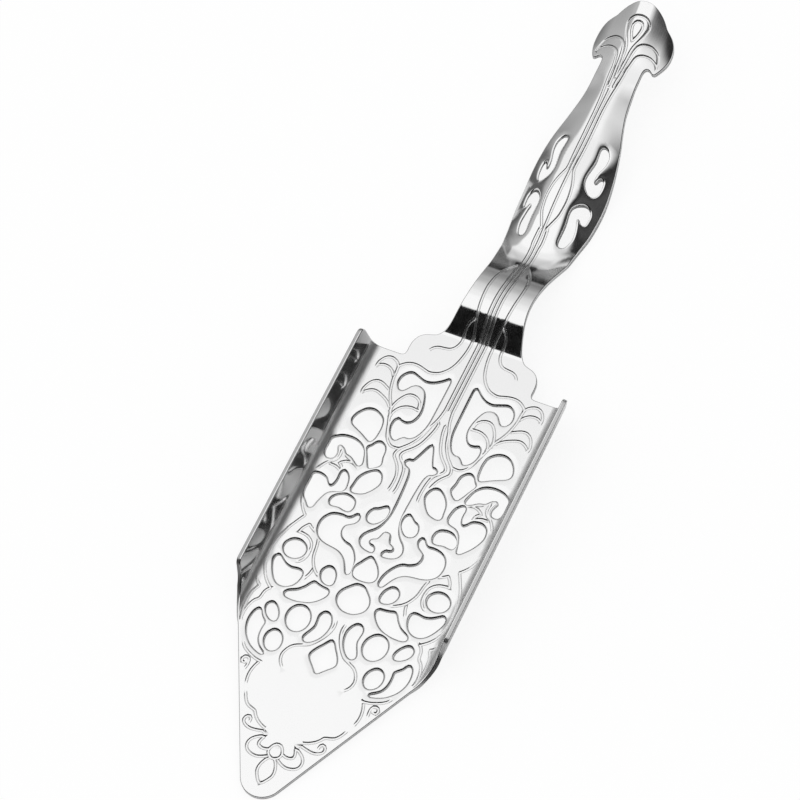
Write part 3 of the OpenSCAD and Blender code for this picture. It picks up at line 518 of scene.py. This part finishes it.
def sheet_edge():
    """Closed edge of the flat sheet, against the clock: tip, pointed end, flange, shoulder, handle."""
    turn = np.radians(np.linspace(-90, TIP_END, 12))
    tip = np.stack([TIP_RADIUS * np.cos(turn), TIP_CENTRE + TIP_RADIUS * np.sin(turn)], axis=1)
    turn = np.radians(np.linspace(0, 90, 8))
    corner = np.stack([
        FLANGE_TOP - FLANGE_CORNER + FLANGE_CORNER * np.cos(turn),
        SHOULDER_V - FLANGE_CORNER + FLANGE_CORNER * np.sin(turn)], axis=1)
    parts = [
        tip,
        [tip[-1], flange_cut[0]],
        smooth(flange_cut, False),
        [flange_cut[-1], corner[0]],
        corner,
        [corner[-1], shoulder_to_bud[0]],
        smooth(shoulder_to_bud, False)]
    right = np.vstack([even(p, EDGE_STEP)[:-1] for p in parts] + [[shoulder_to_bud[-1]]])
    return np.vstack([right, mirrored(right)[1:-1]])


def moved(points, shift):
    """A hole's drawn points, moved out and along, with none too near to the fold."""
    p = np.array(points, float) + shift
    p[:, 0] = np.minimum(p[:, 0], HOLE_LIMIT)
    return p


def hole_edges():
    """Closed edges of all holes, with the clock, so that the steel is always on the left."""
    edges = []
    for points, shift in pierced_pairs:
        edges += [moved(points, (0, 0)), mirrored(moved(points, shift))]
    for points in (lower_slot, upper_slot):
        edges += [np.array(points, float), mirrored(points)]
    for side in (channel_side, diamond_side, centre_side):
        edges.append(np.vstack([side, mirrored(side[1:])]))
    edges.append(np.array(keystone, float))
    edges = [smooth(e, True) for e in edges]
    for centre, half, degrees in ovals:
        oval = oval_edge(centre, half, degrees)
        edges += [oval, mirrored(oval)]
    edges = [even(e, EDGE_STEP, closed=True) for e in edges]
    return [e if area(e) < 0 else e[::-1] for e in edges]


def oval_edge(centre, half, degrees):
    """Closed oval: cosine and sine times its half width and half length, turned and moved."""
    a = np.radians(np.arange(0, 360, 6))
    turn = np.radians(degrees)
    return np.stack([
        centre[0] + half[0] * np.cos(a) * np.cos(turn) - half[1] * np.sin(a) * np.sin(turn),
        centre[1] + half[0] * np.cos(a) * np.sin(turn) + half[1] * np.sin(a) * np.cos(turn)], axis=1)


def area(p):
    """Signed area of a closed line, positive against the clock."""
    q = np.roll(p, -1, axis=0)
    return 0.5 * np.sum(p[:, 0] * q[:, 1] - q[:, 0] * p[:, 1])


def outward(p):
    """Unit direction in the flat sheet from the steel to the void at each point of an edge: the
    mean direction of the two strokes that meet there, turned to the right."""
    stroke = np.roll(p, -1, axis=0) - p
    stroke /= np.linalg.norm(stroke, axis=1, keepdims=True)
    mean = stroke + np.roll(stroke, 1, axis=0)
    mean /= np.linalg.norm(mean, axis=1, keepdims=True)
    return np.stack([mean[:, 1], -mean[:, 0]], axis=1)


def strokes(lines, closed):
    """All strokes of some lines as two arrays, their starts and their ends."""
    if closed:
        return np.vstack(lines), np.vstack([np.roll(p, -1, axis=0) for p in lines])
    return np.vstack([p[:-1] for p in lines]), np.vstack([p[1:] for p in lines])


def nearest(points, start, end):
    """Distance from each point to the nearest stroke, and the unit direction away from it."""
    along = end - start
    square = np.maximum(np.sum(along ** 2, axis=1), 1e-12)
    distance = np.empty(len(points))
    away = np.empty((len(points), 2))
    for i in range(0, len(points), BATCH):
        p = points[i:i + BATCH]
        gap = p[:, None, :] - start[None]
        t = np.clip(np.sum(gap * along[None], axis=2) / square, 0, 1)
        gap -= t[..., None] * along[None]
        d2 = np.sum(gap ** 2, axis=2)
        k = np.argmin(d2, axis=1)
        rows = np.arange(len(p))
        d = np.sqrt(d2[rows, k])
        distance[i:i + BATCH] = d
        away[i:i + BATCH] = gap[rows, k] / np.maximum(d, 1e-9)[:, None]
    return distance, away


def in_steel(points, start, end):
    """Whether each point lies in the steel: a ray along u crosses an odd number of edge strokes."""
    inside = np.empty(len(points), bool)
    for i in range(0, len(points), BATCH):
        p = points[i:i + BATCH]
        above = start[None, :, 1] > p[:, None, 1]
        crosses = above != (end[None, :, 1] > p[:, None, 1])
        rise = np.where(end[:, 1] == start[:, 1], 1, end[:, 1] - start[:, 1])
        u = start[:, 0] + (p[:, None, 1] - start[:, 1]) * (end[:, 0] - start[:, 0]) / rise
        inside[i:i + BATCH] = np.sum(crosses & (p[:, None, 0] < u), axis=1) % 2 == 1
    return inside


def lattice(us, vs):
    """All points with one of the given u and one of the given v."""
    u, v = np.meshgrid(us, vs)
    return np.stack([u.ravel(), v.ravel()], axis=1)


def inner_points(floor_step, bend_steps, leg_step, handle_step):
    """Points spread over the flat sheet: an even lattice on the floor and one on the handle, with
    close columns round the fold and a close lattice on the facets."""
    bend = FOLD_U + np.linspace(0, BEND_LENGTH, bend_steps)
    leg = np.arange(FOLD_U + BEND_LENGTH + leg_step, FLANGE_TOP, leg_step)
    columns = np.concatenate([bend, leg])
    side = lattice(columns, np.arange(FLANGE_START, SHOULDER_V, floor_step))
    spans = ((FLOOR_SPAN, floor_step), (HANDLE_SPAN, handle_step), (FACET_SPAN, handle_step / 2))
    floor, handle, facets = (
        lattice(np.arange(*across_span, step), np.arange(*along_span, step))
        for (across_span, along_span), step in spans)
    return np.vstack([floor, side, side * [-1, 1], handle, facets])


def worn_rows(loops, rim, engraved):
    """Points in two rows along every hole, within the worn fall beside it and at its end, all clear
    of other edges and of the engraved lines."""
    rows = []
    for share, step in WORN_ROWS:
        for p in loops[1:]:
            q = even(p - share * WORN_WIDTH * outward(p), step, closed=True)
            kept = in_steel(q, *rim)
            kept &= nearest(q, *rim)[0] > WORN_CLEAR * share * WORN_WIDTH
            kept &= nearest(q, *engraved)[0] > LINE_ROOM
            rows.append(q[kept])
    return np.vstack(rows)


def filled(loops, free, free_joins):
    """Flat places, triangles of the steel between the loops through all free points and along all
    their joins, and the numbers of each loop's points. A triangle whose middle lies in a hole is
    left out."""
    given = np.vstack(loops + [free])
    first = np.cumsum([0] + [len(p) for p in loops])
    joins = np.vstack([
        np.stack([np.arange(len(p)), np.roll(np.arange(len(p)), -1)], axis=1) + first[i]
        for i, p in enumerate(loops)] + [free_joins + first[-1]])
    omit_holes = 2
    out = delaunay_2d_cdt(
        [Vector(p) for p in given.tolist()], joins.tolist(), [], omit_holes, 1e-7)
    flat = np.array([v[:] for v in out[0]])
    triangles = np.array(out[2])
    triangles = triangles[in_steel(flat[triangles].mean(axis=1), *strokes(loops, True))]
    pairs = np.array([(i, j) for i, source in enumerate(out[3]) for j in source])
    place = np.zeros(len(given), int)
    place[pairs[:, 1]] = pairs[:, 0]
    rings = [place[first[i]:first[i + 1]] for i in range(len(loops))]
    return flat, triangles, rings


def engraved_rows(lines, rim):
    """Points along both sides of every engraved line, in rows on its floor, its slopes and its
    brinks, and the joins between neighbours in a row, all clear of the edges."""
    rows = []
    for p in lines:
        run = np.gradient(p, axis=0)
        normal = np.stack([-run[:, 1], run[:, 0]], axis=1)
        normal /= np.linalg.norm(normal, axis=1, keepdims=True)
        middle = (LINE_FLOOR + LINE_HALF) / 2
        rows += [p + k * normal for k in (
            -LINE_HALF, -middle, -LINE_FLOOR, 0, LINE_FLOOR, middle, LINE_HALF)]
    points = np.vstack(rows)
    last = np.cumsum([len(p) for p in rows]) - 1
    follows = np.ones(len(points), bool)
    follows[last] = False
    kept = in_steel(points, *rim) & (nearest(points, *rim)[0] > LINE_CLEAR)
    joined = np.flatnonzero(follows[:-1] & kept[:-1] & kept[1:])
    number = np.cumsum(kept) - 1
    return points[kept], np.stack([number[joined], number[joined + 1]], axis=1)


def across(u, v, n):
    """The two tangents of the sheet along u and v and its direction square to them."""
    step = 0.02
    along_u = (placed(u + step, v, n) - placed(u - step, v, n)) / (2 * step)
    along_v = (placed(u, v + step, n) - placed(u, v - step, n)) / (2 * step)
    up = np.cross(along_u, along_v)
    return along_u, along_v, up / np.linalg.norm(up, axis=1, keepdims=True)


def unit(v):
    """Vectors of length one."""
    return v / np.linalg.norm(v, axis=1, keepdims=True)


def web_width(i, edges):
    """Width of the steel between each point of edge i and the nearest other edge."""
    others = [p for j, p in enumerate(edges) if j != i]
    return nearest(edges[i], *strokes(others, True))[0]


def worn_depth(flat, loops, rings, out):
    """Depth of the worn fall beside the holes at each point and its slope along u and v: the square
    of the distance to the fall's inner end, as a share of its width. On a hole's edge itself the
    fall runs outward."""
    d, away = nearest(flat, *strokes(loops[1:], True))
    away[np.concatenate(rings[1:])] = -np.vstack(out[1:])
    left = np.clip(1 - d / WORN_WIDTH, 0, 1)
    return -WORN_DEPTH * left ** 2, away * (-2 * WORN_DEPTH / WORN_WIDTH * left)[:, None]


def free_ends(lines):
    """Ends of engraved lines that stop in the open, away from the axis and from every other line."""
    found = []
    for i, p in enumerate(lines):
        ends = p[[0, -1]]
        gap, _ = nearest(ends, *strokes(lines[:i] + lines[i + 1:], False))
        ring = np.hypot(*(p[0] - p[-1])) < LINE_HALF
        found.append(ends[(gap > LINE_APART) & (np.abs(ends[:, 0]) > LINE_HALF) & (not ring)])
    return np.vstack(found)


def line_depth(flat, engraved, edges, ends):
    """Depth of the engraving at each point and its slope along u and v: a channel with a flat floor
    and smooth sides round every engraved line, which runs out near an edge and at its free ends."""
    d, away = nearest(flat, *engraved)
    rim, _ = nearest(flat, *edges)
    q = np.clip((d - LINE_FLOOR) / (LINE_HALF - LINE_FLOOR), 0, 1)
    fade = np.clip((rim - LINE_SHORT) / LINE_RISE, 0, 1)
    fade = fade * smooth_step(nearest(flat, ends, ends)[0] / LINE_TAPER)
    depth = -LINE_DEPTH * fade * (1 - q * q * (3 - 2 * q))
    slope = LINE_DEPTH * fade * 6 * q * (1 - q) / (LINE_HALF - LINE_FLOOR)
    return depth, away * slope[:, None]


def rounding_shares(edges):
    """Share of a hole's full rounding at each point of every edge: as much as the steel up to the
    next edge allows, and on the sheet's own edge the share of the smaller rounding."""
    shares = [
        np.minimum(1, WEB_SHARE / UPPER_EDGE * web_width(i, edges))[:, None]
        for i in range(len(edges))]
    shares[0] = np.full_like(shares[0], OUTER_EDGE / UPPER_EDGE)
    return shares


def added_satin(u, v, depth):
    """Added roughness at each point: on engraved lines by their depth, all round the fold and on
    the facets."""
    fold = smooth_step((np.abs(u) - FOLD_U) / FOLD_EASE)
    fold = fold * smooth_step((FOLD_U + BEND_LENGTH - np.abs(u)) / FOLD_EASE)
    facets = smooth_step(facet_depth(u, v) / FACET_FULL)
    return LINE_SATIN * -depth / LINE_DEPTH + FOLD_SATIN * fold + FACET_SATIN * facets


def upper_face(loops, out):
    """Places, normals and added roughness of the upper face's points, its triangles and the numbers
    of each loop's points. The face is lowered by the engraving and by the worn fall."""
    half = [even(smooth(p, False), LINE_STEP) for p in engraving]
    lines = half + [p * [-1, 1] for p in half if abs(p[:, 0]).max() > 0]
    engraved = strokes(lines, False)
    rim = strokes(loops, True)
    rows, row_joins = engraved_rows(lines, rim)
    free = inner_points(floor_step=1.1, bend_steps=8, leg_step=1.1, handle_step=0.6)
    free = free[in_steel(free, *rim)]
    free = free[nearest(free, *strokes(loops[1:], True))[0] > WORN_WIDTH + EDGE_ROOM]
    free = free[(nearest(free, *rim)[0] > EDGE_ROOM) & (nearest(free, *engraved)[0] > LINE_ROOM)]
    given = np.vstack([rows, worn_rows(loops, rim, engraved), free])
    flat, triangles, rings = filled(loops, given, row_joins)
    u, v = flat.T
    depth, slope = line_depth(flat, engraved, rim, free_ends(lines))
    worn, worn_slope = worn_depth(flat, loops, rings, out)
    slope = slope - worn_slope
    along_u, along_v, up = across(u, v, 0)
    normals = unit(np.cross(along_u + up * slope[:, :1], along_v + up * slope[:, 1:]))
    return placed(u, v, depth + worn), normals, added_satin(u, v, depth), triangles, rings


def lower_face(loops):
    """Places and normals of the plain lower face's points, its triangles and the numbers of each
    loop's points."""
    rim = strokes(loops, True)
    free = inner_points(floor_step=2.2, bend_steps=6, leg_step=1.6, handle_step=1.0)
    free = free[in_steel(free, *rim)]
    free = free[nearest(free, *rim)[0] > LOWER_ROOM]
    flat, triangles, rings = filled(loops, free, np.empty((0, 2), int))
    u, v = flat.T
    return placed(u, v, -SHEET), -across(u, v, -SHEET)[2], triangles, rings


def edge_bands(edge, out, share, worn, first, top, bottom):
    """Rows of points down one edge, numbered on from first: on a quarter circle from the upper
    face, which is lowered by the wear, and on a smaller one to the lower face. Gives their places,
    normals, the triangles of the two roundings and those of the cut wall between."""
    upper = [
        (UPPER_EDGE * (np.sin(a) - 1), (np.cos(a) - 1) * UPPER_EDGE * share[:, 0] - worn, a)
        for a in UPPER_TURNS]
    lower = [
        (LOWER_EDGE * (np.sin(a) - 1), LOWER_EDGE * (1 - np.cos(a)) - SHEET, np.pi - a)
        for a in LOWER_TURNS]
    places = []
    normals = []
    for shift, n, turn in upper + lower:
        q = edge + shift * share * out
        along_u, along_v, up = across(q[:, 0], q[:, 1], 0)
        side = unit(along_u * out[:, :1] + along_v * out[:, 1:])
        places.append(placed(q[:, 0], q[:, 1], n))
        normals.append(np.cos(turn) * up + np.sin(turn) * side)
    rows = [top] + [np.arange(len(edge)) + first + k * len(edge) for k in range(len(places))]
    rows.append(bottom)
    bands = []
    for a, b in zip(rows[:-1], rows[1:]):
        a2, b2 = np.roll(a, -1), np.roll(b, -1)
        bands.append(np.concatenate([np.stack([a, b, a2], axis=1), np.stack([a2, b, b2], axis=1)]))
    wall = bands.pop(len(upper))
    return np.vstack(places), np.vstack(normals), np.vstack(bands), wall


def spoon_sheet():
    """Mesh of the whole sheet. Both faces are filled between the edges, and every edge carries the
    same profile. Normals are worked out from the surface, so that reflections run smoothly."""
    edges = [sheet_edge()] + hole_edges()
    out = [outward(p) for p in edges]
    shares = rounding_shares(edges)
    upper_loops = [p - UPPER_EDGE * r * o for p, r, o in zip(edges, shares, out)]
    lower_loops = [p - LOWER_EDGE * r * o for p, r, o in zip(edges, shares, out)]
    upper, upper_normals, satin, upper_triangles, upper_rings = upper_face(upper_loops, out)
    lower, lower_normals, lower_triangles, lower_rings = lower_face(lower_loops)

    places = [upper, lower]
    normals = [upper_normals, lower_normals]
    triangles = [upper_triangles, lower_triangles[:, ::-1] + len(upper)]
    walls = []
    for i, edge in enumerate(edges):
        worn = WORN_DEPTH if i > 0 else 0
        first = sum(len(p) for p in places)
        p, n, bands, wall = edge_bands(
            edge, out[i], shares[i], worn, first, upper_rings[i], lower_rings[i] + len(upper))
        places.append(p)
        normals.append(n)
        triangles.append(bands)
        walls.append(wall)
    wall = np.vstack(walls)
    faces = np.vstack(triangles + [wall])

    mesh = bpy.data.meshes.new("spoon_sheet")
    mesh.from_pydata((np.vstack(places) * MM).tolist(), [], faces.tolist())
    mesh.polygons.foreach_set("use_smooth", np.ones(len(faces), bool))
    which = np.zeros(len(faces), np.int32)
    which[-len(wall):] = 1
    mesh.polygons.foreach_set("material_index", which)
    mesh.normals_split_custom_set_from_vertices(unit(np.vstack(normals)).tolist())
    roughness = np.zeros(len(mesh.vertices))
    roughness[:len(satin)] = satin
    mesh.attributes.new("satin", "FLOAT", "POINT").data.foreach_set("value", roughness)
    mesh.update()
    print("sheet triangles:", len(faces))
    return mesh


# Materials

def linear(code):
    """sRGB hex colour as linear red, green, blue and alpha."""
    c = np.array([int(code[i:i + 2], 16) for i in (0, 2, 4)]) / 255
    c = np.where(c <= 0.04045, c / 12.92, ((c + 0.055) / 1.055) ** 2.4)
    return (*c.tolist(), 1.0)


def add(tree, kind, settings=None, **inputs):
    """Adds a node, gives it its settings, and fills its sockets with values or links."""
    node = tree.nodes.new("ShaderNode" + kind)
    for name, value in (settings or {}).items():
        setattr(node, name, value)
    for name, value in inputs.items():
        key = int(name[1:]) if name[0] == "i" and name[1:].isdigit() else name.replace("_", " ")
        socket = node.inputs[key]
        if isinstance(value, bpy.types.NodeSocket):
            tree.links.new(value, socket)
        else:
            socket.default_value = value
    return node


def material(name):
    """A new material, still without nodes, and its node tree."""
    made = bpy.data.materials.new(name)
    made.use_nodes = True
    made.node_tree.nodes.clear()
    return made, made.node_tree


def polished_stainless_steel():
    """Cold-rolled stainless sheet, polished after pressing and then used: bright, almost colourless,
    faintly wavy from rolling, with fine wiping scratches in three directions."""
    made, tree = material("polished_stainless_steel")
    place = add(tree, "TexCoord").outputs["Object"]
    # waves of rolling and polishing, about 9 mm and 2 mm long
    waves = add(tree, "TexNoise", Vector=place, Scale=110.0, Detail=1.0, Roughness=0.4)
    ripple = add(tree, "TexNoise", Vector=place, Scale=480.0, Detail=2.0, Roughness=0.5)
    # wiping scratches about 0.1 mm wide, drawn wider than real ones so that they show
    fine = []
    for turn in (0.5, -0.9, 1.9):
        turned = add(tree, "Mapping", Vector=place, Rotation=(0, 0, turn),
                     Scale=(9000.0, 260.0, 260.0))
        hair = add(tree, "TexNoise", Vector=turned.outputs[0], Scale=1.0, Detail=2.0, Roughness=0.6)
        fine.append(hair.outputs["Fac"])
    pair = add(tree, "Math", {"operation": "ADD"}, i0=fine[0], i1=fine[1])
    hairs = add(tree, "Math", {"operation": "ADD"}, i0=pair.outputs[0], i1=fine[2])
    gloss = add(tree, "MapRange", Value=ripple.outputs["Fac"], From_Min=0.3, From_Max=0.7,
                To_Min=0.07, To_Max=0.13)
    # satin where the polishing wheel hardly reaches and on the two hatched facets
    satin = add(tree, "Attribute", {"attribute_name": "satin"})
    rough = add(tree, "Math", {"operation": "ADD"}, i0=satin.outputs["Fac"], i1=gloss.outputs[0])
    first = add(tree, "Bump", Strength=0.35, Distance=0.00006, Height=waves.outputs["Fac"])
    second = add(tree, "Bump", Strength=0.3, Distance=0.000012, Height=ripple.outputs["Fac"],
                 Normal=first.outputs[0])
    third = add(tree, "Bump", Strength=0.25, Distance=0.000004, Height=hairs.outputs[0],
                Normal=second.outputs[0])
    shader = add(tree, "BsdfPrincipled", Base_Color=linear("EDEDED"), Metallic=1.0,
                 Roughness=rough.outputs[0], Normal=third.outputs[0])
    add(tree, "OutputMaterial", Surface=shader.outputs[0])
    return made


def sheared_steel_edge():
    """The wall that the punch leaves, with upright tear marks: more matt than the polished face, because
    the polishing wheel never reaches it, and painted darker as a painted shade for the shade on the cut
    walls."""
    made, tree = material("sheared_steel_edge")
    place = add(tree, "TexCoord").outputs["Object"]
    # upright tear marks about 0.15 mm apart
    tears = add(tree, "Mapping", Vector=place, Scale=(6500.0, 6500.0, 900.0))
    torn = add(tree, "TexNoise", Vector=tears.outputs[0], Scale=1.0, Detail=3.0, Roughness=0.6)
    # Painted shade: the wall's greys are darker than the face's, standing in for the shade on the walls;
    # the tear marks vary them
    tone = add(tree, "ValToRGB", Fac=torn.outputs["Fac"])
    tone.color_ramp.elements[0].color = linear("BDBDBD")
    tone.color_ramp.elements[1].color = linear("D2D2D2")
    rough = add(tree, "MapRange", Value=torn.outputs["Fac"], From_Min=0.3, From_Max=0.7,
                To_Min=0.3, To_Max=0.45)
    bump = add(tree, "Bump", Strength=0.4, Distance=0.00002, Height=torn.outputs["Fac"])
    shader = add(tree, "BsdfPrincipled", Base_Color=tone.outputs[0], Metallic=1.0,
                 Roughness=rough.outputs[0], Normal=bump.outputs[0])
    add(tree, "OutputMaterial", Surface=shader.outputs[0])
    return made


spoon = bpy.data.objects.new("spoon_sheet", spoon_sheet())
bpy.context.scene.collection.objects.link(spoon)
spoon.data.materials.append(polished_stainless_steel())
spoon.data.materials.append(sheared_steel_edge())
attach(spoon, "root")
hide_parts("spoon")

# Floor, light and camera

def ray_kinds(tree):
    """Two values of nought or one: whether a ray comes straight from the camera or through glass,
    and whether it is mirrored."""
    path = add(tree, "LightPath")
    seen = add(tree, "Math", {"operation": "MAXIMUM"},
               i0=path.outputs["Is Camera Ray"], i1=path.outputs["Is Transmission Ray"])
    return seen.outputs[0], path.outputs["Is Glossy Ray"]


# Half the table's side in m, and the share of its white that is lit from itself for the camera, so
# that it stays white and the spoon's soft shadow still shows
TABLE_HALF = 3
TABLE_LIT = 0.86
# In the steel the table shows a painted shade, a paint seen only in reflections, with the spoon's real
# shadow on it as well: tone and distance from the axis in m of the near white close to the spoon and
# of the grey beside it
TABLE_NEAR, PAINTED_SHADE_NEAR = 0.02, 0.75
TABLE_FAR, PAINTED_SHADE_FAR = 0.03, 0.12
# Strength of the cloth's light and of the dark room's, where white is 1
CLOTH_LIGHT = 1.1
ROOM_LIGHT = 0.004

floor_mesh = bpy.data.meshes.new("floor")
corners = [(x * TABLE_HALF, y * TABLE_HALF, 0) for x, y in ((-1, -1), (1, -1), (1, 1), (-1, 1))]
floor_mesh.from_pydata(corners, [], [(0, 1, 2, 3)])
floor = bpy.data.objects.new("floor", floor_mesh)
bpy.context.scene.collection.objects.link(floor)
white_table, tree = material("white_table")
seen, glossy = ray_kinds(tree)
table_paint = add(tree, "BsdfDiffuse", Color=linear("FAFAFA"))
lit = add(tree, "Emission", Color=(1, 1, 1, 1), Strength=1.0)
place = add(tree, "SeparateXYZ", Vector=add(tree, "TexCoord").outputs["Object"])
aside = add(tree, "Math", {"operation": "ABSOLUTE"}, i0=place.outputs["X"])
# Painted shade for reflections: the table's paint as the steel mirrors it, near white by the spoon and
# dark grey beside it
tone = add(tree, "MapRange", Value=aside.outputs[0], From_Min=TABLE_NEAR, From_Max=TABLE_FAR,
           To_Min=PAINTED_SHADE_NEAR, To_Max=PAINTED_SHADE_FAR)
# Painted reflection: this darker paint of the table shows only in the steel, where it darkens what the
# steel mirrors
painted_reflection_shade = add(tree, "BsdfDiffuse", Color=tone.outputs[0])
share = add(tree, "Math", {"operation": "MULTIPLY"}, i0=seen, i1=TABLE_LIT)
paint = add(tree, "MixShader", Fac=share.outputs[0], i1=table_paint.outputs[0], i2=lit.outputs[0])
table = add(tree, "MixShader", Fac=glossy, i1=paint.outputs[0], i2=painted_reflection_shade.outputs[0])
add(tree, "OutputMaterial", Surface=table.outputs[0])
floor_mesh.materials.append(white_table)

world = bpy.data.worlds.new("studio")
bpy.context.scene.world = world
world.use_nodes = True
tree = world.node_tree
tree.nodes.clear()
seen, glossy = ray_kinds(tree)
toward = add(tree, "TexCoord").outputs["Generated"]
axes = add(tree, "SeparateXYZ", Vector=toward)
# A white cloth hangs overhead. It ends sharply towards the viewer, where the room is black, and in
# a grey wall on the left. It fades to the right, where a dark gap parts it from a dim wall, and
# towards the far table and the far side, where it ends above a dark strip. Each end is an axis of
# the mirrored direction, where along it the change begins and is done, and the light's share there.
ends = [
    ("Y", -0.39, -0.31, 0.0, 1.0),
    ("Y", 0.25, 0.37, 1.0, 0.9),
    ("Y", 0.45, 0.9, 1.0, 0.6),
    ("Y", 0.922, 0.944, 1.0, 0.08),
    ("X", 0.15, 0.5, 1.0, 0.65),
    ("X", 0.38, 0.6, 1.0, 0.03),
    ("X", 0.66, 0.84, 1.0, 3.3),
    ("X", -0.7, -0.58, 0.48, 1.0),
    ("Z", 0.02, 0.6, 0.25, 1.0)]
cloth = 1.0
for axis, near, far, low, high in ends:
    end = add(tree, "MapRange", {"interpolation_type": "SMOOTHSTEP"},
              Value=axes.outputs[axis], From_Min=near, From_Max=far, To_Min=low, To_Max=high)
    cloth = add(tree, "Math", {"operation": "MULTIPLY"}, i0=end.outputs[0], i1=cloth).outputs[0]
room = add(tree, "Math", {"operation": "MULTIPLY_ADD"}, i0=cloth, i1=CLOTH_LIGHT, i2=ROOM_LIGHT)
studio = add(tree, "Background", Color=(1, 1, 1, 1), Strength=room.outputs[0])
white = add(tree, "Background", Color=(1, 1, 1, 1), Strength=1.0)
base = add(tree, "MixShader", Fac=glossy, i1=white.outputs[0], i2=studio.outputs[0])
all_light = add(tree, "MixShader", Fac=seen, i1=base.outputs[0], i2=white.outputs[0])
add(tree, "OutputWorld", Surface=all_light.outputs[0])

# The camera's directions and place in m are worked out from the photo
camera_data = bpy.data.cameras.new("camera")
camera_data.lens = 135
camera_data.sensor_width = 36
camera = bpy.data.objects.new("camera", camera_data)
right = Vector((0.891491, 0.432813, -0.133852))
up = Vector((-0.318280, 0.808609, 0.494824))
back = Vector((0.322400, -0.398529, 0.858623))
stand = Vector((0.156732, -0.211152, 0.444293))
camera.matrix_world = Matrix.Translation(stand) @ Matrix((right, up, back)).transposed().to_4x4()
bpy.context.scene.collection.objects.link(camera)
bpy.context.scene.camera = camera
bpy.context.scene.view_settings.view_transform = "Standard"
